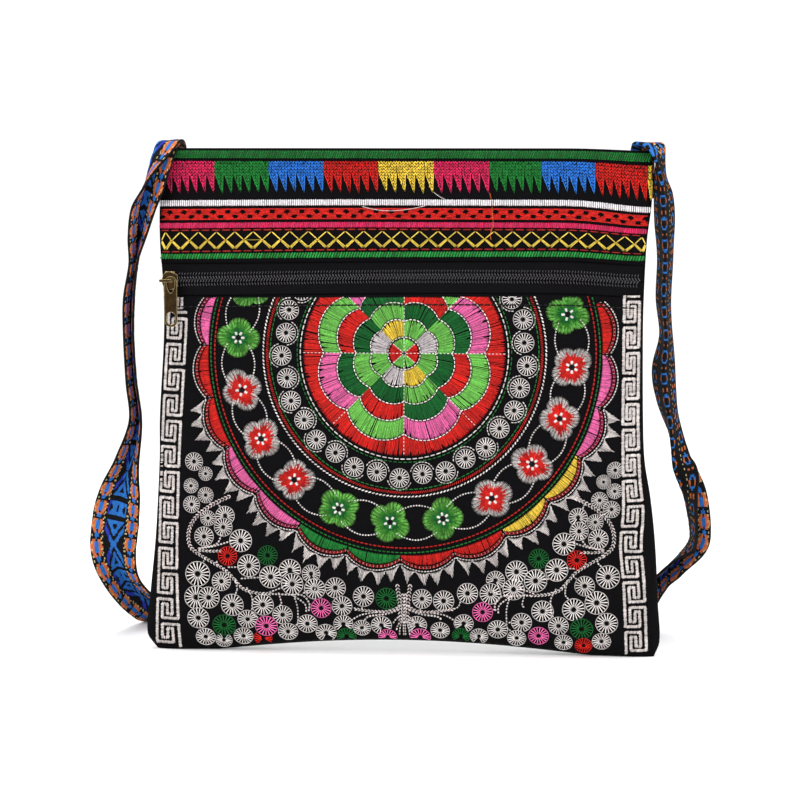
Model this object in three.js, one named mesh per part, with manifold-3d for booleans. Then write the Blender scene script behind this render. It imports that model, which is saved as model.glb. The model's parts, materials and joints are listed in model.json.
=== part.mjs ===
// An embroidered shoulder bag: a soft square pouch with a zipped front and a woven shoulder band.
// It stands on its two bottom corners, facing -Y, with the band falling at both sides to the floor behind.
import * as THREE from "three";
import { mergeVertices } from "three/addons/utils/BufferGeometryUtils.js";
import Module from "manifold-3d";

const wasm = await Module();
wasm.setup();

// Driving dimensions, in millimetres.
const HEIGHT = 267; // floor to the top edge
const WALL = 1.8; // embroidered cloth with its backing
const SEAM_GAP = 0.4; // between the front and back walls where they are sewn
const EDGE_GAP = 0.4; // between neighbours on the front
const FOOT_ARCH = 9.5; // the bottom edge's middle above its corners
const FOOT_FLAT = 3; // how much each bottom corner is flattened by the floor
const SHOULDER_DROOP = 5; // how far the right shoulder sinks, below an edge that the strap holds up
const ZIP_RISE = 2.4; // how far the zip climbs from the left seam to the right one
const BOTTOM_ROUND = 34; // height over which the bottom swells to its full depth
const FOOTPRINT_CENTRE = { x: -5.64, y: 109.51 }; // middle of the whole footprint, from the seams' crossing

// Heights of the front's pieces and trims.
const PANEL_TOP = 189.6;
const ZIP_MIDDLE = 197.8;
const BAND_BOTTOM = 206.6;
const TAPE_RECESS = 0.7;
const TAPE_WALL = 1.1;
const COIL = { width: 6.6, proud: 2.1, from: 0.036, to: 0.99 };

// The bag's outline and depth: a row for each height, seen from the front, with the swell of each wall.
const SECTIONS = [
  { z: 0, left: -132.5, right: 132.5, front: 9.5, back: 8.5 },
  { z: 8, left: -138, right: 135.4, front: 11, back: 9.5 },
  { z: 28, left: -136.5, right: 134.4, front: 12.5, back: 10.5 },
  { z: 60, left: -133.2, right: 132.6, front: 13, back: 11 },
  { z: 84, left: -131.6, right: 130, front: 12.8, back: 11 },
  { z: 104, left: -130.6, right: 126.7, front: 12.4, back: 10.8 },
  { z: 125, left: -130.3, right: 125.7, front: 11.8, back: 10.4 },
  { z: 166, left: -127.8, right: 125.2, front: 10.6, back: 9.4 },
  { z: 188, left: -127.6, right: 125.4, front: 9.6, back: 8.6 },
  { z: 219, left: -129.4, right: 126.8, front: 7.6, back: 7 },
  { z: 240, left: -129.2, right: 129.2, front: 6.4, back: 6 },
  { z: 267, left: -127.4, right: 129.4, front: 5.4, back: 5.2 },
];

// The raised trims of the top band: the height of each one's middle, its width and how far it stands out.
const TRIMS = [
  { name: "top_cord", z: 263.8, width: 4.2, proud: 1.1, color: 0x6fbf4f },
  { name: "white_cord", z: 239, width: 4, proud: 1.1, color: 0xddd6d0 },
  { name: "red_braid", z: 233, width: 6.4, proud: 0.9, color: 0xcf2a22 },
  { name: "pink_cord", z: 227.2, width: 3.4, proud: 1, color: 0xe04a80 },
  { name: "green_cord", z: 210.6, width: 3.4, proud: 1, color: 0x6fbf4f },
];

// The slider and its pull, which turns on the bridge's inner post.
const SLIDER = { x: -122.9, width: 9, height: 10.6, plate: 1.5, back: -8.9, flange: 3.3 };
const POST = { x: -121.8, z: 197.9, radius: 0.8 };
const BRIDGE = { outerLeg: -126.9, bar: 1.3, clear: 0.45 };
const PULL = { width: 6.6, top: 200.2, bottom: 173.5, thick: 1.3, hole: 2.25 };
const PULL_SLOT = { top: 181.4, bottom: 174.7, width: 4.6 };
const PULL_EYE_POINT = 191.4;

// The woven band. Each row is a point of its middle line. swing and dip aim the face that its edges fold
// towards (0, 0 is straight forward; swing turns it to the right, dip down), and open is its breadth there.
const BAND = { width: 26, thick: 1.4 };
const LEFT_FALL = [
  { x: -128, y: 8.2, z: 244, swing: 90, dip: 0, open: 3 },
  { x: -128, y: 8.2, z: 259, swing: 90, dip: 0, open: 3 },
  { x: -128.2, y: 7.2, z: 267.2, swing: 90, dip: 0, open: 2.2 },
  { x: -129, y: -0.5, z: 270.2, swing: 86, dip: 0, open: 1.8 },
  { x: -130.6, y: -6.8, z: 265.8, swing: 72, dip: 0, open: 3.6 },
  { x: -133.4, y: -7.6, z: 255, swing: 40, dip: 0, open: 10 },
  { x: -136.8, y: -2, z: 240, swing: 10, dip: 0, open: 12 },
  { x: -140, y: 5, z: 224, swing: 0, dip: 0, open: 9 },
  { x: -143.2, y: 10, z: 208, swing: 0, dip: 0, open: 4 },
  { x: -146.6, y: 13.5, z: 188, swing: 0, dip: 0, open: 5.5 },
  { x: -147.6, y: 16, z: 168, swing: 0, dip: 0, open: 5 },
  { x: -147, y: 19, z: 143, swing: 0, dip: 0, open: 5.3 },
  { x: -145.4, y: 21, z: 121, swing: 0, dip: 0, open: 6.5 },
  { x: -150.6, y: 22, z: 99, swing: 0, dip: 0, open: 13 },
  { x: -155.5, y: 24, z: 82, swing: 0, dip: 0, open: 22 },
  { x: -160, y: 27, z: 65, swing: 0, dip: 0, open: 26 },
  { x: -162.4, y: 33, z: 48, swing: 0, dip: 0, open: 25 },
  { x: -160, y: 44, z: 30.6, swing: 14, dip: -20, open: 18 },
  { x: -151, y: 60, z: 16.4, swing: 20, dip: -50, open: 20 },
  { x: -139, y: 78, z: 3, swing: 20, dip: -82, open: 26 },
];
const FLOOR_LOOP = { x: -9, y: 96, across: 123, back: 130, rows: 14 }; // half an ellipse on the floor
const RIGHT_RISE = [
  { x: 116.5, y: 82, z: 4.6, swing: 0, dip: -75, open: 26 },
  { x: 124, y: 72, z: 20, swing: 0, dip: -40, open: 19 },
  { x: 137, y: 60, z: 34.8, swing: 5, dip: -10, open: 9.5 },
  { x: 144.8, y: 51, z: 44.2, swing: 10, dip: 0, open: 9 },
  { x: 151.4, y: 43, z: 55, swing: 20, dip: 0, open: 9 },
  { x: 151.45, y: 36, z: 65, swing: 35, dip: 0, open: 10 },
  { x: 148.4, y: 28, z: 80.6, swing: 55, dip: 0, open: 11 },
  { x: 145.4, y: 25, z: 88.6, swing: 85, dip: 0, open: 9 },
  { x: 142.3, y: 22, z: 97, swing: 130, dip: 0, open: 6.5 },
  { x: 141.5, y: 20, z: 105, swing: 155, dip: 0, open: 6 },
  { x: 140.3, y: 16, z: 119.4, swing: 175, dip: 0, open: 7.4 },
  { x: 137.9, y: 12, z: 134.8, swing: 180, dip: 0, open: 10.3 },
  { x: 136.3, y: 10, z: 150, swing: 180, dip: 0, open: 11.3 },
  { x: 137.3, y: 7, z: 168, swing: 180, dip: 0, open: 6 },
  { x: 135.8, y: 4, z: 188, swing: 180, dip: 0, open: 7.2 },
  { x: 136.4, y: 0, z: 209, swing: 180, dip: 0, open: 7.6 },
  { x: 135.6, y: -5, z: 227, swing: 178, dip: 0, open: 9.8 },
  { x: 134.8, y: -8, z: 241, swing: 178, dip: 0, open: 9 },
  { x: 133.5, y: -9.2, z: 252.4, swing: 180, dip: 0, open: 5.4 },
  { x: 128.2, y: -9, z: 266, swing: 148, dip: 0, open: 3.6 },
  { x: 120.6, y: -1.2, z: 269.9, swing: 98, dip: -14, open: 2.6 },
  { x: 118.6, y: 6.9, z: 266.4, swing: 90, dip: -7, open: 2.4 },
  { x: 118.5, y: 8.4, z: 255, swing: 90, dip: 0, open: 3 },
  { x: 118.5, y: 8.4, z: 241, swing: 90, dip: 0, open: 3 },
];
const BAND_STEPS = 2; // sections to each row of the route

// Grid sizes of the cloth walls.
const ACROSS = 26;
const UP_PANEL = 15;
const UP_BAND = 4;
const UP_BACK = 18;

const COTTON = { color: 0x1b1a1b, roughness: 0.92, metalness: 0 };
const NYLON = { color: 0x17171a, roughness: 0.6, metalness: 0 };
const THREAD = { roughness: 0.7, metalness: 0 };
const WOVEN = { color: 0x2a3850, roughness: 0.85, metalness: 0 };
const BRASS = { color: 0x8a7340, roughness: 0.45, metalness: 1 };

// One column of a table at a value of another, along a smooth curve through the rows.
function along(table, key, at, column) {
  let i = table.findIndex((row) => row[key] > at) - 1;
  if (i === -2) i = table.length - 2;
  i = Math.max(i, 0);
  const row = (k) => table[Math.min(Math.max(k, 0), table.length - 1)];
  const slope = (k) =>
    (row(k + 1)[column] - row(k - 1)[column]) / (row(k + 1)[key] - row(k - 1)[key]);
  const span = row(i + 1)[key] - row(i)[key];
  const t = THREE.MathUtils.clamp((at - row(i)[key]) / span, 0, 1);
  const a = row(i)[column];
  const b = row(i + 1)[column];
  const bend = t * (1 - t) * span;
  const ease = t * t * (3 - 2 * t);
  return a + (b - a) * ease + bend * ((1 - t) * slope(i) - t * slope(i + 1));
}

// A point of a wall. u runs from the left seam to the right one, v from the bottom edge to the top, and
// inset moves the point into the cloth. side is -1 for the front and 1 for the back.
function wallPoint(side, u, v, inset) {
  const arch = FOOT_ARCH * Math.sin(Math.PI * u) ** 1.2 - FOOT_FLAT;
  const held = 1 - 0.75 * THREE.MathUtils.smoothstep(v, 0.93, 1);
  const droop = SHOULDER_DROOP * THREE.MathUtils.smoothstep(u, 0.8, 1) ** 1.5 * v ** 3 * held;
  const belowZip = THREE.MathUtils.smoothstep(v * HEIGHT, ZIP_MIDDLE - 45, ZIP_MIDDLE - 10);
  const aboveZip = THREE.MathUtils.smoothstep(v * HEIGHT, ZIP_MIDDLE + 8, ZIP_MIDDLE + 32);
  const climb = ZIP_RISE * u * belowZip * (1 - aboveZip);
  const z = Math.max(v * HEIGHT + climb + (arch + inset) * (1 - v) ** 2 - droop, inset);
  const left = along(SECTIONS, "z", z, "left") + inset;
  const right = along(SECTIONS, "z", z, "right") - inset;
  const depth = along(SECTIONS, "z", z, side < 0 ? "front" : "back") - inset;
  const sideRound = Math.sqrt(1 - Math.abs(2 * u - 1) ** 6);
  const low = Math.max(1 - (v * HEIGHT) / BOTTOM_ROUND, 0);
  const bottomRound = Math.sqrt(1 - low ** 3);
  const y = side * (depth * sideRound * bottomRound + SEAM_GAP / 2);
  return new THREE.Vector3(left + (right - left) * u, y, z);
}

// Where a height of the front lies in v.
const atHeight = (z) => z / HEIGHT;

// A closed mesh from triangles whose corners are given as points.
function closedMesh(points, faces) {
  const geometry = new THREE.BufferGeometry().setFromPoints(points);
  geometry.setIndex(faces);
  return mergeVertices(geometry, 1e-3);
}

// A cloth wall: the grid of its outer face, the grid of its inner face, and the four edges between them.
function clothWall(side, v0, v1, rows, outer, inner) {
  const points = [];
  for (const inset of [outer, inner])
    for (let j = 0; j <= rows; j++)
      for (let i = 0; i <= ACROSS; i++) {
        const u = (1 - Math.cos((Math.PI * i) / ACROSS)) / 2;
        const rise = v0 > 0 ? j / rows : (j / rows) ** 1.83;
        points.push(wallPoint(side, u, v0 + (v1 - v0) * rise, inset));
      }
  const stride = ACROSS + 1;
  const inside = stride * (rows + 1);
  const faces = [];
  const quad = (a, b, c, d) => faces.push(...(side < 0 ? [a, b, c, a, c, d] : [a, c, b, a, d, c]));
  for (let j = 0; j < rows; j++)
    for (let i = 0; i < ACROSS; i++) {
      const a = j * stride + i;
      quad(a, a + 1, a + 1 + stride, a + stride);
      quad(inside + a, inside + a + stride, inside + a + 1 + stride, inside + a + 1);
    }
  const edge = (a, b) => quad(b, a, inside + a, inside + b);
  const top = rows * stride;
  for (let i = 0; i < ACROSS; i++) {
    edge(i, i + 1);
    edge(top + i + 1, top + i);
  }
  for (let j = 0; j < rows; j++) {
    edge((j + 1) * stride, j * stride);
    edge(j * stride + ACROSS, (j + 1) * stride + ACROSS);
  }
  return closedMesh(points, faces);
}

// A solid through a row of like sections, with its two ends closed.
function loft(sections) {
  const count = sections[0].length;
  const faces = [];
  for (let k = 0; k + 1 < sections.length; k++)
    for (let i = 0; i < count; i++) {
      const a = k * count + i;
      const b = k * count + ((i + 1) % count);
      faces.push(a, b, b + count, a, b + count, a + count);
    }
  const cap = (section) => THREE.ShapeUtils.triangulateShape(flatten(section), []);
  const last = (sections.length - 1) * count;
  for (const [a, b, c] of cap(sections[0])) faces.push(a, c, b);
  for (const [a, b, c] of cap(sections.at(-1))) faces.push(last + a, last + b, last + c);
  return closedMesh(sections.flat(), faces);
}

// A section's corners in its own plane, for closing it with triangles.
function flatten(section) {
  const across = section[0].clone().sub(section[2]).normalize();
  const normal = new THREE.Vector3();
  section.forEach((p, i) => normal.add(p.clone().cross(section[(i + 1) % section.length])));
  const upward = normal.normalize().clone().cross(across);
  return section.map((p) => new THREE.Vector2(p.dot(across), p.dot(upward)));
}

// A strip that follows the front at one height: a low rounded section, standing on the cloth.
function frontStrip(z, width, proud, inset, from, to) {
  const profile = [
    { up: 0.5, out: 0 },
    { up: 0.44, out: 0.6 },
    { up: 0.2, out: 1 },
    { up: -0.2, out: 1 },
    { up: -0.44, out: 0.6 },
    { up: -0.5, out: 0 },
  ];
  const sections = [];
  for (let i = 0; i <= ACROSS; i++) {
    const u = from + ((to - from) * (1 - Math.cos((Math.PI * i) / ACROSS))) / 2;
    const section = profile.map(({ up, out }) => {
      const point = wallPoint(-1, u, atHeight(z + up * width), inset);
      point.y -= EDGE_GAP + out * proud;
      return point;
    });
    sections.push(section);
  }
  return loft(sections);
}

// The band's section: its two halves fold towards the facing direction until the breadth is as given.
function bandSection(centre, heading, facing, open) {
  const half = BAND.width / 2;
  const t = BAND.thick / 2;
  const c = Math.min(open / BAND.width, 1);
  const s = Math.sqrt(1 - c * c);
  const ridge = t * Math.max(s, 0.35);
  const corners = [
    [half * c + t * s, half * s - t * c],
    [half * c - t * s, half * s + t * c],
    [0, t / c],
    [-half * c + t * s, half * s + t * c],
    [-half * c - t * s, half * s - t * c],
    [-ridge, -t * c],
    [ridge, -t * c],
  ];
  const across = facing.clone().cross(heading);
  return corners.map(([a, n]) => centre.clone().addScaledVector(across, a).addScaledVector(facing, n));
}

// The whole route of the band: down the left side, round the floor behind, and up the right side.
function bandRoute() {
  const floor = [];
  for (let i = 0; i <= FLOOR_LOOP.rows; i++) {
    const turn = (Math.PI * i) / FLOOR_LOOP.rows;
    floor.push({
      x: FLOOR_LOOP.x - FLOOR_LOOP.across * Math.cos(turn),
      y: FLOOR_LOOP.y + FLOOR_LOOP.back * Math.sin(turn),
      z: BAND.thick / 2,
      swing: 0,
      dip: -90,
      open: BAND.width,
    });
  }
  return [...LEFT_FALL, ...floor, ...RIGHT_RISE].map((row, i) => ({ ...row, i }));
}

// The band lofted along its route.
function shoulderBand() {
  const route = bandRoute();
  const lowest = BAND.thick / 2;
  const place = (at) => {
    const [x, y, z] = ["x", "y", "z"].map((column) => along(route, "i", at, column));
    return new THREE.Vector3(x, y, Math.max(z, lowest));
  };
  const sections = [];
  const steps = (route.length - 1) * BAND_STEPS;
  for (let k = 0; k <= steps; k++) {
    const at = k / BAND_STEPS;
    const heading = place(at + 0.05).sub(place(at - 0.05)).normalize();
    const swing = THREE.MathUtils.degToRad(along(route, "i", at, "swing"));
    const dip = THREE.MathUtils.degToRad(along(route, "i", at, "dip"));
    const facing = new THREE.Vector3(
      Math.sin(swing) * Math.cos(dip),
      -Math.cos(swing) * Math.cos(dip),
      Math.sin(dip),
    );
    facing.addScaledVector(heading, -facing.dot(heading)).normalize();
    sections.push(bandSection(place(at), heading, facing, along(route, "i", at, "open")));
  }
  return loft(sections);
}

// A three.js geometry as a solid for joining and cutting, and back.
function solid(geometry) {
  const bare = new THREE.BufferGeometry().setAttribute("position", geometry.getAttribute("position"));
  if (geometry.index) bare.setIndex(geometry.index);
  const merged = mergeVertices(bare, 1e-4);
  return new wasm.Manifold(
    new wasm.Mesh({
      numProp: 3,
      vertProperties: merged.attributes.position.array,
      triVerts: new Uint32Array(merged.index.array),
    }),
  );
}
function surface(body) {
  const mesh = body.getMesh();
  const geometry = new THREE.BufferGeometry();
  geometry.setAttribute("position", new THREE.BufferAttribute(mesh.vertProperties, 3));
  return geometry.setIndex(new THREE.BufferAttribute(mesh.triVerts, 1));
}

// An outline in x and z pushed out towards -Y: its back face lies at y = back.
function plate(shape, back, thick) {
  const geometry = new THREE.ExtrudeGeometry(shape, { depth: thick, bevelEnabled: false, curveSegments: 6 });
  return geometry.rotateX(Math.PI / 2).translate(0, back, 0);
}

// A round bar between two points.
function bar(from, to, radius) {
  const geometry = new THREE.CylinderGeometry(radius, radius, from.distanceTo(to), 10);
  const turn = new THREE.Quaternion().setFromUnitVectors(
    new THREE.Vector3(0, 1, 0),
    to.clone().sub(from).normalize(),
  );
  const middle = from.clone().add(to).multiplyScalar(0.5);
  return geometry.applyQuaternion(turn).translate(middle.x, middle.y, middle.z);
}

// Where the pull's plane and the bridge's bar lie in front of the slider's plate.
const sliderFace = SLIDER.back - SLIDER.plate;
const pullBack = sliderFace - BRIDGE.clear;
const pullFace = pullBack - PULL.thick;
const barMiddle = pullFace - BRIDGE.clear - BRIDGE.bar / 2;

// The slider: a shield-shaped plate with a flange over each edge of the coil, and a bridge of two legs and a bar.
function sliderGeometry() {
  const left = SLIDER.x - SLIDER.width / 2;
  const right = SLIDER.x + SLIDER.width / 2;
  const low = ZIP_MIDDLE - SLIDER.height / 2;
  const high = ZIP_MIDDLE + SLIDER.height / 2;
  const shield = new THREE.Shape();
  shield.moveTo(right, low + 2.2);
  shield.lineTo(right, high - 2.2);
  shield.lineTo(right - 2, high - 1.2);
  shield.quadraticCurveTo(left + 3, high + 0.6, left + 1.4, high - 2.4);
  shield.quadraticCurveTo(left - 0.2, ZIP_MIDDLE, left + 1.4, low + 2.4);
  shield.quadraticCurveTo(left + 3, low - 0.6, right - 2, low + 1.2);
  let body = solid(plate(shield, SLIDER.back, SLIDER.plate));
  const flange = new THREE.BoxGeometry(5, SLIDER.flange + SLIDER.plate / 2, 0.9);
  const flangeMiddle = SLIDER.back + SLIDER.flange / 2 - SLIDER.plate / 4;
  for (const z of [low + 0.95, high - 0.95])
    body = body.add(solid(flange.clone().translate(SLIDER.x + 0.2, flangeMiddle, z)));
  const inner = new THREE.Vector3(POST.x, barMiddle, POST.z);
  const outer = new THREE.Vector3(BRIDGE.outerLeg, barMiddle, POST.z);
  const intoPlate = sliderFace + SLIDER.plate / 2 - barMiddle;
  for (const end of [inner, outer]) {
    const foot = end.clone().setY(end.y + intoPlate);
    body = body.add(solid(bar(end.clone().setY(end.y - BRIDGE.bar / 2), foot, POST.radius)));
  }
  const reach = new THREE.BoxGeometry(inner.x - outer.x, BRIDGE.bar, 2 * POST.radius - 0.1);
  const middle = outer.clone().add(inner).multiplyScalar(0.5);
  return surface(body.add(solid(reach.translate(middle.x, middle.y, middle.z))));
}

// The pull: a long plate with round ends, a pointed eye that hangs on the post, and a round-ended slot.
function pullGeometry() {
  const half = PULL.width / 2;
  const shape = new THREE.Shape();
  shape.absarc(POST.x, PULL.top - half, half, 0, Math.PI, false);
  shape.absarc(POST.x, PULL.bottom + half, half, Math.PI, 2 * Math.PI, false);
  const eyeMiddle = PULL.top - half;
  const eye = new THREE.Path();
  eye.absarc(POST.x, eyeMiddle, PULL.hole, 0, Math.PI, false);
  eye.quadraticCurveTo(POST.x - PULL.hole, eyeMiddle - 3, POST.x - 0.5, PULL_EYE_POINT);
  eye.lineTo(POST.x + 0.5, PULL_EYE_POINT);
  eye.quadraticCurveTo(POST.x + PULL.hole, eyeMiddle - 3, POST.x + PULL.hole, eyeMiddle);
  const slot = new THREE.Path();
  const round = PULL_SLOT.width / 2;
  slot.absarc(POST.x, PULL_SLOT.top - round, round, 0, Math.PI, false);
  slot.absarc(POST.x, PULL_SLOT.bottom + round, round, Math.PI, 2 * Math.PI, false);
  shape.holes.push(eye, slot);
  return plate(shape, pullBack, PULL.thick);
}

const bag = new THREE.Group();
bag.name = "embroidered_shoulder_bag";
bag.position.set(-FOOTPRINT_CENTRE.x, -FOOTPRINT_CENTRE.y, 0);

function addPiece(name, geometry, look) {
  const mesh = new THREE.Mesh(geometry, new THREE.MeshStandardMaterial(look));
  mesh.name = name;
  bag.add(mesh);
}

const halfGap = EDGE_GAP / 2;
const tapeBack = TAPE_RECESS + TAPE_WALL;
addPiece("back_panel", clothWall(1, 0, 1, UP_BACK, 0, WALL), COTTON);
addPiece("front_panel", clothWall(-1, 0, atHeight(PANEL_TOP - halfGap), UP_PANEL, 0, WALL), COTTON);
addPiece("upper_band", clothWall(-1, atHeight(BAND_BOTTOM + halfGap), 1, UP_BAND, 0, WALL), COTTON);
const tapes = [
  { name: "zip_tape_lower", from: PANEL_TOP, to: ZIP_MIDDLE },
  { name: "zip_tape_upper", from: ZIP_MIDDLE, to: BAND_BOTTOM },
];
for (const { name, from, to } of tapes) {
  const low = atHeight(from + halfGap);
  addPiece(name, clothWall(-1, low, atHeight(to - halfGap), 1, TAPE_RECESS, tapeBack), NYLON);
}
addPiece("zip_coil", frontStrip(ZIP_MIDDLE, COIL.width, COIL.proud, TAPE_RECESS, COIL.from, COIL.to), NYLON);
addPiece("zip_slider", sliderGeometry(), BRASS);
addPiece("zip_pull", pullGeometry(), BRASS);
for (const { name, z, width, proud, color } of TRIMS)
  addPiece(name, frontStrip(z, width, proud, 0, 0.012, 0.988), { ...THREAD, color });
addPiece("strap", shoulderBand(), WOVEN);

export default bag;
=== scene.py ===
"""An embroidered folk shoulder bag over its solid frame: cloth walls, thread work, zip, strap and stage."""

import json
import math

import bpy
import numpy as np
from bpy.props import FloatProperty, FloatVectorProperty, IntProperty, PointerProperty
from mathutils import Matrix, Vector


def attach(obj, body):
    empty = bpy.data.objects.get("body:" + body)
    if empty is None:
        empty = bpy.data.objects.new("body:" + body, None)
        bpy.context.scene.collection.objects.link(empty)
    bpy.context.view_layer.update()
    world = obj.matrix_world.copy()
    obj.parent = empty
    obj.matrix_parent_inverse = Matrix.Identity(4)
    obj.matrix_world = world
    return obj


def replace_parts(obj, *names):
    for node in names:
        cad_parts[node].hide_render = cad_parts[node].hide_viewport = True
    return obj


bl_info = {
    "name": "Embroidered shoulder bag",
    "version": (1, 0, 0),
    "blender": (4, 5, 0),
    "location": "3D View > Sidebar > Bag",
    "description": "Cloth, thread work, zip and woven strap of a folk shoulder bag on its solid frame",
    "category": "Add Mesh",
}

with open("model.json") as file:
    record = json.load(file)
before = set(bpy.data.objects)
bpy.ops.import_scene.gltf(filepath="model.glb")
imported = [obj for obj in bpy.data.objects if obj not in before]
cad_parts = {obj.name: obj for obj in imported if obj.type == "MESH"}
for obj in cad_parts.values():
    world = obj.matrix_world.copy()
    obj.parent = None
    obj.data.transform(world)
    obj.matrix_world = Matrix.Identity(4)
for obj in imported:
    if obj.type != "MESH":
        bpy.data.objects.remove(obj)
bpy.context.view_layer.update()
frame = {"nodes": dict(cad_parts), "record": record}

MM = 0.001
# Bag millimetres: x to the right, y to the back with the seam plane at 0, z up from the floor. The zip pull's
# hinge is the place that is known both here and in the frame.
PULL_PIVOT = np.array([-121.8, -11.5, 197.9])
ORIGIN = np.array(frame["record"]["behaviour"]["joints"][0]["pos_m"]) / MM - PULL_PIVOT

HEIGHT = 267.0
WALL = 1.8
SEAM_GAP = 0.4
FOOT_ARCH, FOOT_FLAT = 9.5, 3.0
SHOULDER_DROOP = 5.0
ZIP_RISE = 2.4
BOTTOM_ROUND = 34.0
PANEL_TOP, ZIP_MIDDLE, BAND_BOTTOM = 189.6, 197.8, 206.6
TAPE_RECESS = 0.7
HALF_WIDTH = 127.0
PUCKER = 0.32
BAND_SAG = 0.8

# The bag's outline and depth at heights above the floor.
SECTION_Z = np.array([0, 8, 28, 60, 84, 104, 125, 166, 188, 219, 240, 267.0])
SECTION_LEFT = np.array(
    [-132.5, -138, -136.5, -133.2, -131.6, -130.6, -130.3, -127.8, -127.6, -129.4, -129.2, -127.4]
)
SECTION_RIGHT = np.array([132.5, 135.4, 134.4, 132.6, 130, 126.7, 125.7, 125.2, 125.4, 126.8, 129.2, 129.4])
SECTION_FRONT = np.array([9.5, 11, 12.5, 13, 12.8, 12.4, 11.8, 10.6, 9.6, 7.6, 6.4, 5.4])
SECTION_BACK = np.array([8.5, 9.5, 10.5, 11, 11, 10.8, 10.4, 9.4, 8.6, 7, 6, 5.2])

# The strap's route, a row for each station: the place of its middle, the way its face looks as a swing about
# z and a rise above level in degrees, and how wide its lengthways fold stands open.
LEFT_FALL = [
    (-128, 8.2, 244, 90, 0, 3), (-128, 8.2, 259, 90, 0, 3), (-128.2, 7.2, 267.2, 90, 0, 2.2),
    (-129, -0.5, 270.2, 86, 0, 1.8), (-130.6, -6.8, 265.8, 72, 0, 3.6), (-133.4, -7.6, 255, 40, 0, 10),
    (-136.8, -2, 240, 10, 0, 12), (-140, 5, 224, 0, 0, 9), (-143.2, 10, 208, 0, 0, 4),
    (-146.6, 13.5, 188, 0, 0, 5.5), (-147.6, 16, 168, 0, 0, 5), (-147, 19, 143, 0, 0, 5.3),
    (-145.4, 21, 121, 0, 0, 6.5), (-150.6, 22, 99, 0, 0, 13), (-155.5, 24, 82, 0, 0, 22),
    (-160, 27, 65, 0, 0, 26), (-162.4, 33, 48, 0, 0, 25), (-160, 44, 30.6, 14, -20, 18),
    (-151, 60, 16.4, 20, -50, 20), (-139, 78, 3, 20, -82, 26),
]
FLOOR_LOOP = {"x": -9, "y": 96, "across": 123, "back": 130, "rows": 14}
RIGHT_RISE = [
    (116.5, 82, 4.6, 0, -75, 26), (124, 72, 20, 0, -40, 19), (137, 60, 34.8, 5, -10, 9.5),
    (144.8, 51, 44.2, 10, 0, 9), (151.4, 43, 55, 20, 0, 9), (151.45, 36, 65, 35, 0, 10),
    (148.4, 28, 80.6, 55, 0, 11), (145.4, 25, 88.6, 85, 0, 9), (142.3, 22, 97, 130, 0, 6.5),
    (141.5, 20, 105, 155, 0, 6), (140.3, 16, 119.4, 175, 0, 7.4), (137.9, 12, 134.8, 180, 0, 10.3),
    (136.3, 10, 150, 180, 0, 11.3), (137.3, 7, 168, 180, 0, 6), (135.8, 4, 188, 180, 0, 7.2),
    (136.4, 0, 209, 180, 0, 7.6), (135.6, -5, 227, 178, 0, 9.8), (134.8, -8, 241, 178, 0, 9),
    (133.5, -9.2, 252.4, 180, 0, 5.4), (128.2, -9, 266, 148, 0, 3.6), (120.6, -1.2, 269.9, 98, -14, 2.6),
    (118.6, 6.9, 266.4, 90, -7, 2.4), (118.5, 8.4, 255, 90, 0, 3), (118.5, 8.4, 241, 90, 0, 3),
]
# The strap laid flat, the rounding of its fold's crease, the lengths from its left and right ends where its
# face is outside, and its grid: the step along it, the columns across it and the rise of a coloured cell.
STRAP_OPEN, CREASE = 26, 1.1
FACE_OUTSIDE = (54.0, 50.0)
STRAP_STEP, STRAP_COLUMNS, FLOAT_STEP = 1.03, 45, 0.05
# Warp colours by their number in the strap's charts, and the names of those after black.
BLACK, BLUE, NAVY, ORANGE, CREAM = range(5)
STRAP_WARP = ("blue", "navy", "orange", "cream")
# How often the face's middle field and borders, the reverse's rings and the cream dots repeat along the
# strap, half the field's width, the middle of a border, and a dot's length and half width.
FIELD_REPEAT, BORDER_REPEAT, RING_REPEAT, DOT_REPEAT = 44, 11.4, 12, 2.85
FIELD_HALF, BORDER_MIDDLE, DOT_LONG, DOT_HALF = 5.5, 9.55, 0.95, 0.32

# The round medallion: its middle on the front panel, the radii of its rings, and angles in degrees.
MEDALLION = np.array([1.0, 160.5])
DISC, BOW_TIE = 8.5, 41
PETAL_RINGS = [(16.3, 18.4), (25.0, 27.6), (32.3, 36.7), (41.5, 47.0)]  # at the cusps and between them
PETAL_THREADS = [
    ("silver", "leaf", "forest", "pink"), ("leaf", "forest", "red", "leaf"),
    ("yellow", "leaf", "forest", "pink"), ("silver", "forest", "red", "leaf"),
    ("leaf", "leaf", "forest", "pink"), ("silver", "forest", "red", "leaf"),
    ("yellow", "leaf", "forest", "pink"), ("leaf", "forest", "red", "leaf"),
]
GROUND = 53.4
WHITE_DASHES, INNER_GREEN, OUTER_GREEN, RED_SATIN, WHITE_BEADS = 54.6, 56.2, 70.4, 72.1, 74.2
WHEEL_RINGS, WHEEL_FIRST, WHEEL_STEP, WHEEL_COUNT, WHEEL_RADIUS = (63.0, 64.5), 149.0, 10.82, 23, 5.4
BLOSSOM_RING, BLOSSOM_RADIUS, BLOSSOM_STEP, BLOSSOM_FIRST = 87.7, 10.9, 18.06, 157.0
BLOSSOM_THREADS = "GGRRRGGGRRRRG"
SCALLOP_STEP, SCALLOP_FIRST = 15.15, 163.0
SCALLOP_THREADS = (
    "pink", "red", "red", "pink", "pink", "green", "green",
    "red", "red", "yellow", "yellow", "pink", "pink", "red",
)
RIM_RED, RIM_GREEN = 100.0, 102.1
SCALLOP_IN, SCALLOP_CUSP, SCALLOP_OUT = 103.2, 106.8, 112.1
# From the rim inwards: the satin's end, the ladder's two sides and the two ends of its rungs.
SATIN_END, LADDER_SIDES, LADDER_RUNGS, RUNG_STEP = 2.9, (2.35, 1.5), (2.5, 1.3), 1.6
# White rays: how many to a scallop, the scallops without any at either end, and their height.
RAYS, RAYS_FROM, RAY_TALL = 4, 2, 7.2

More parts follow.
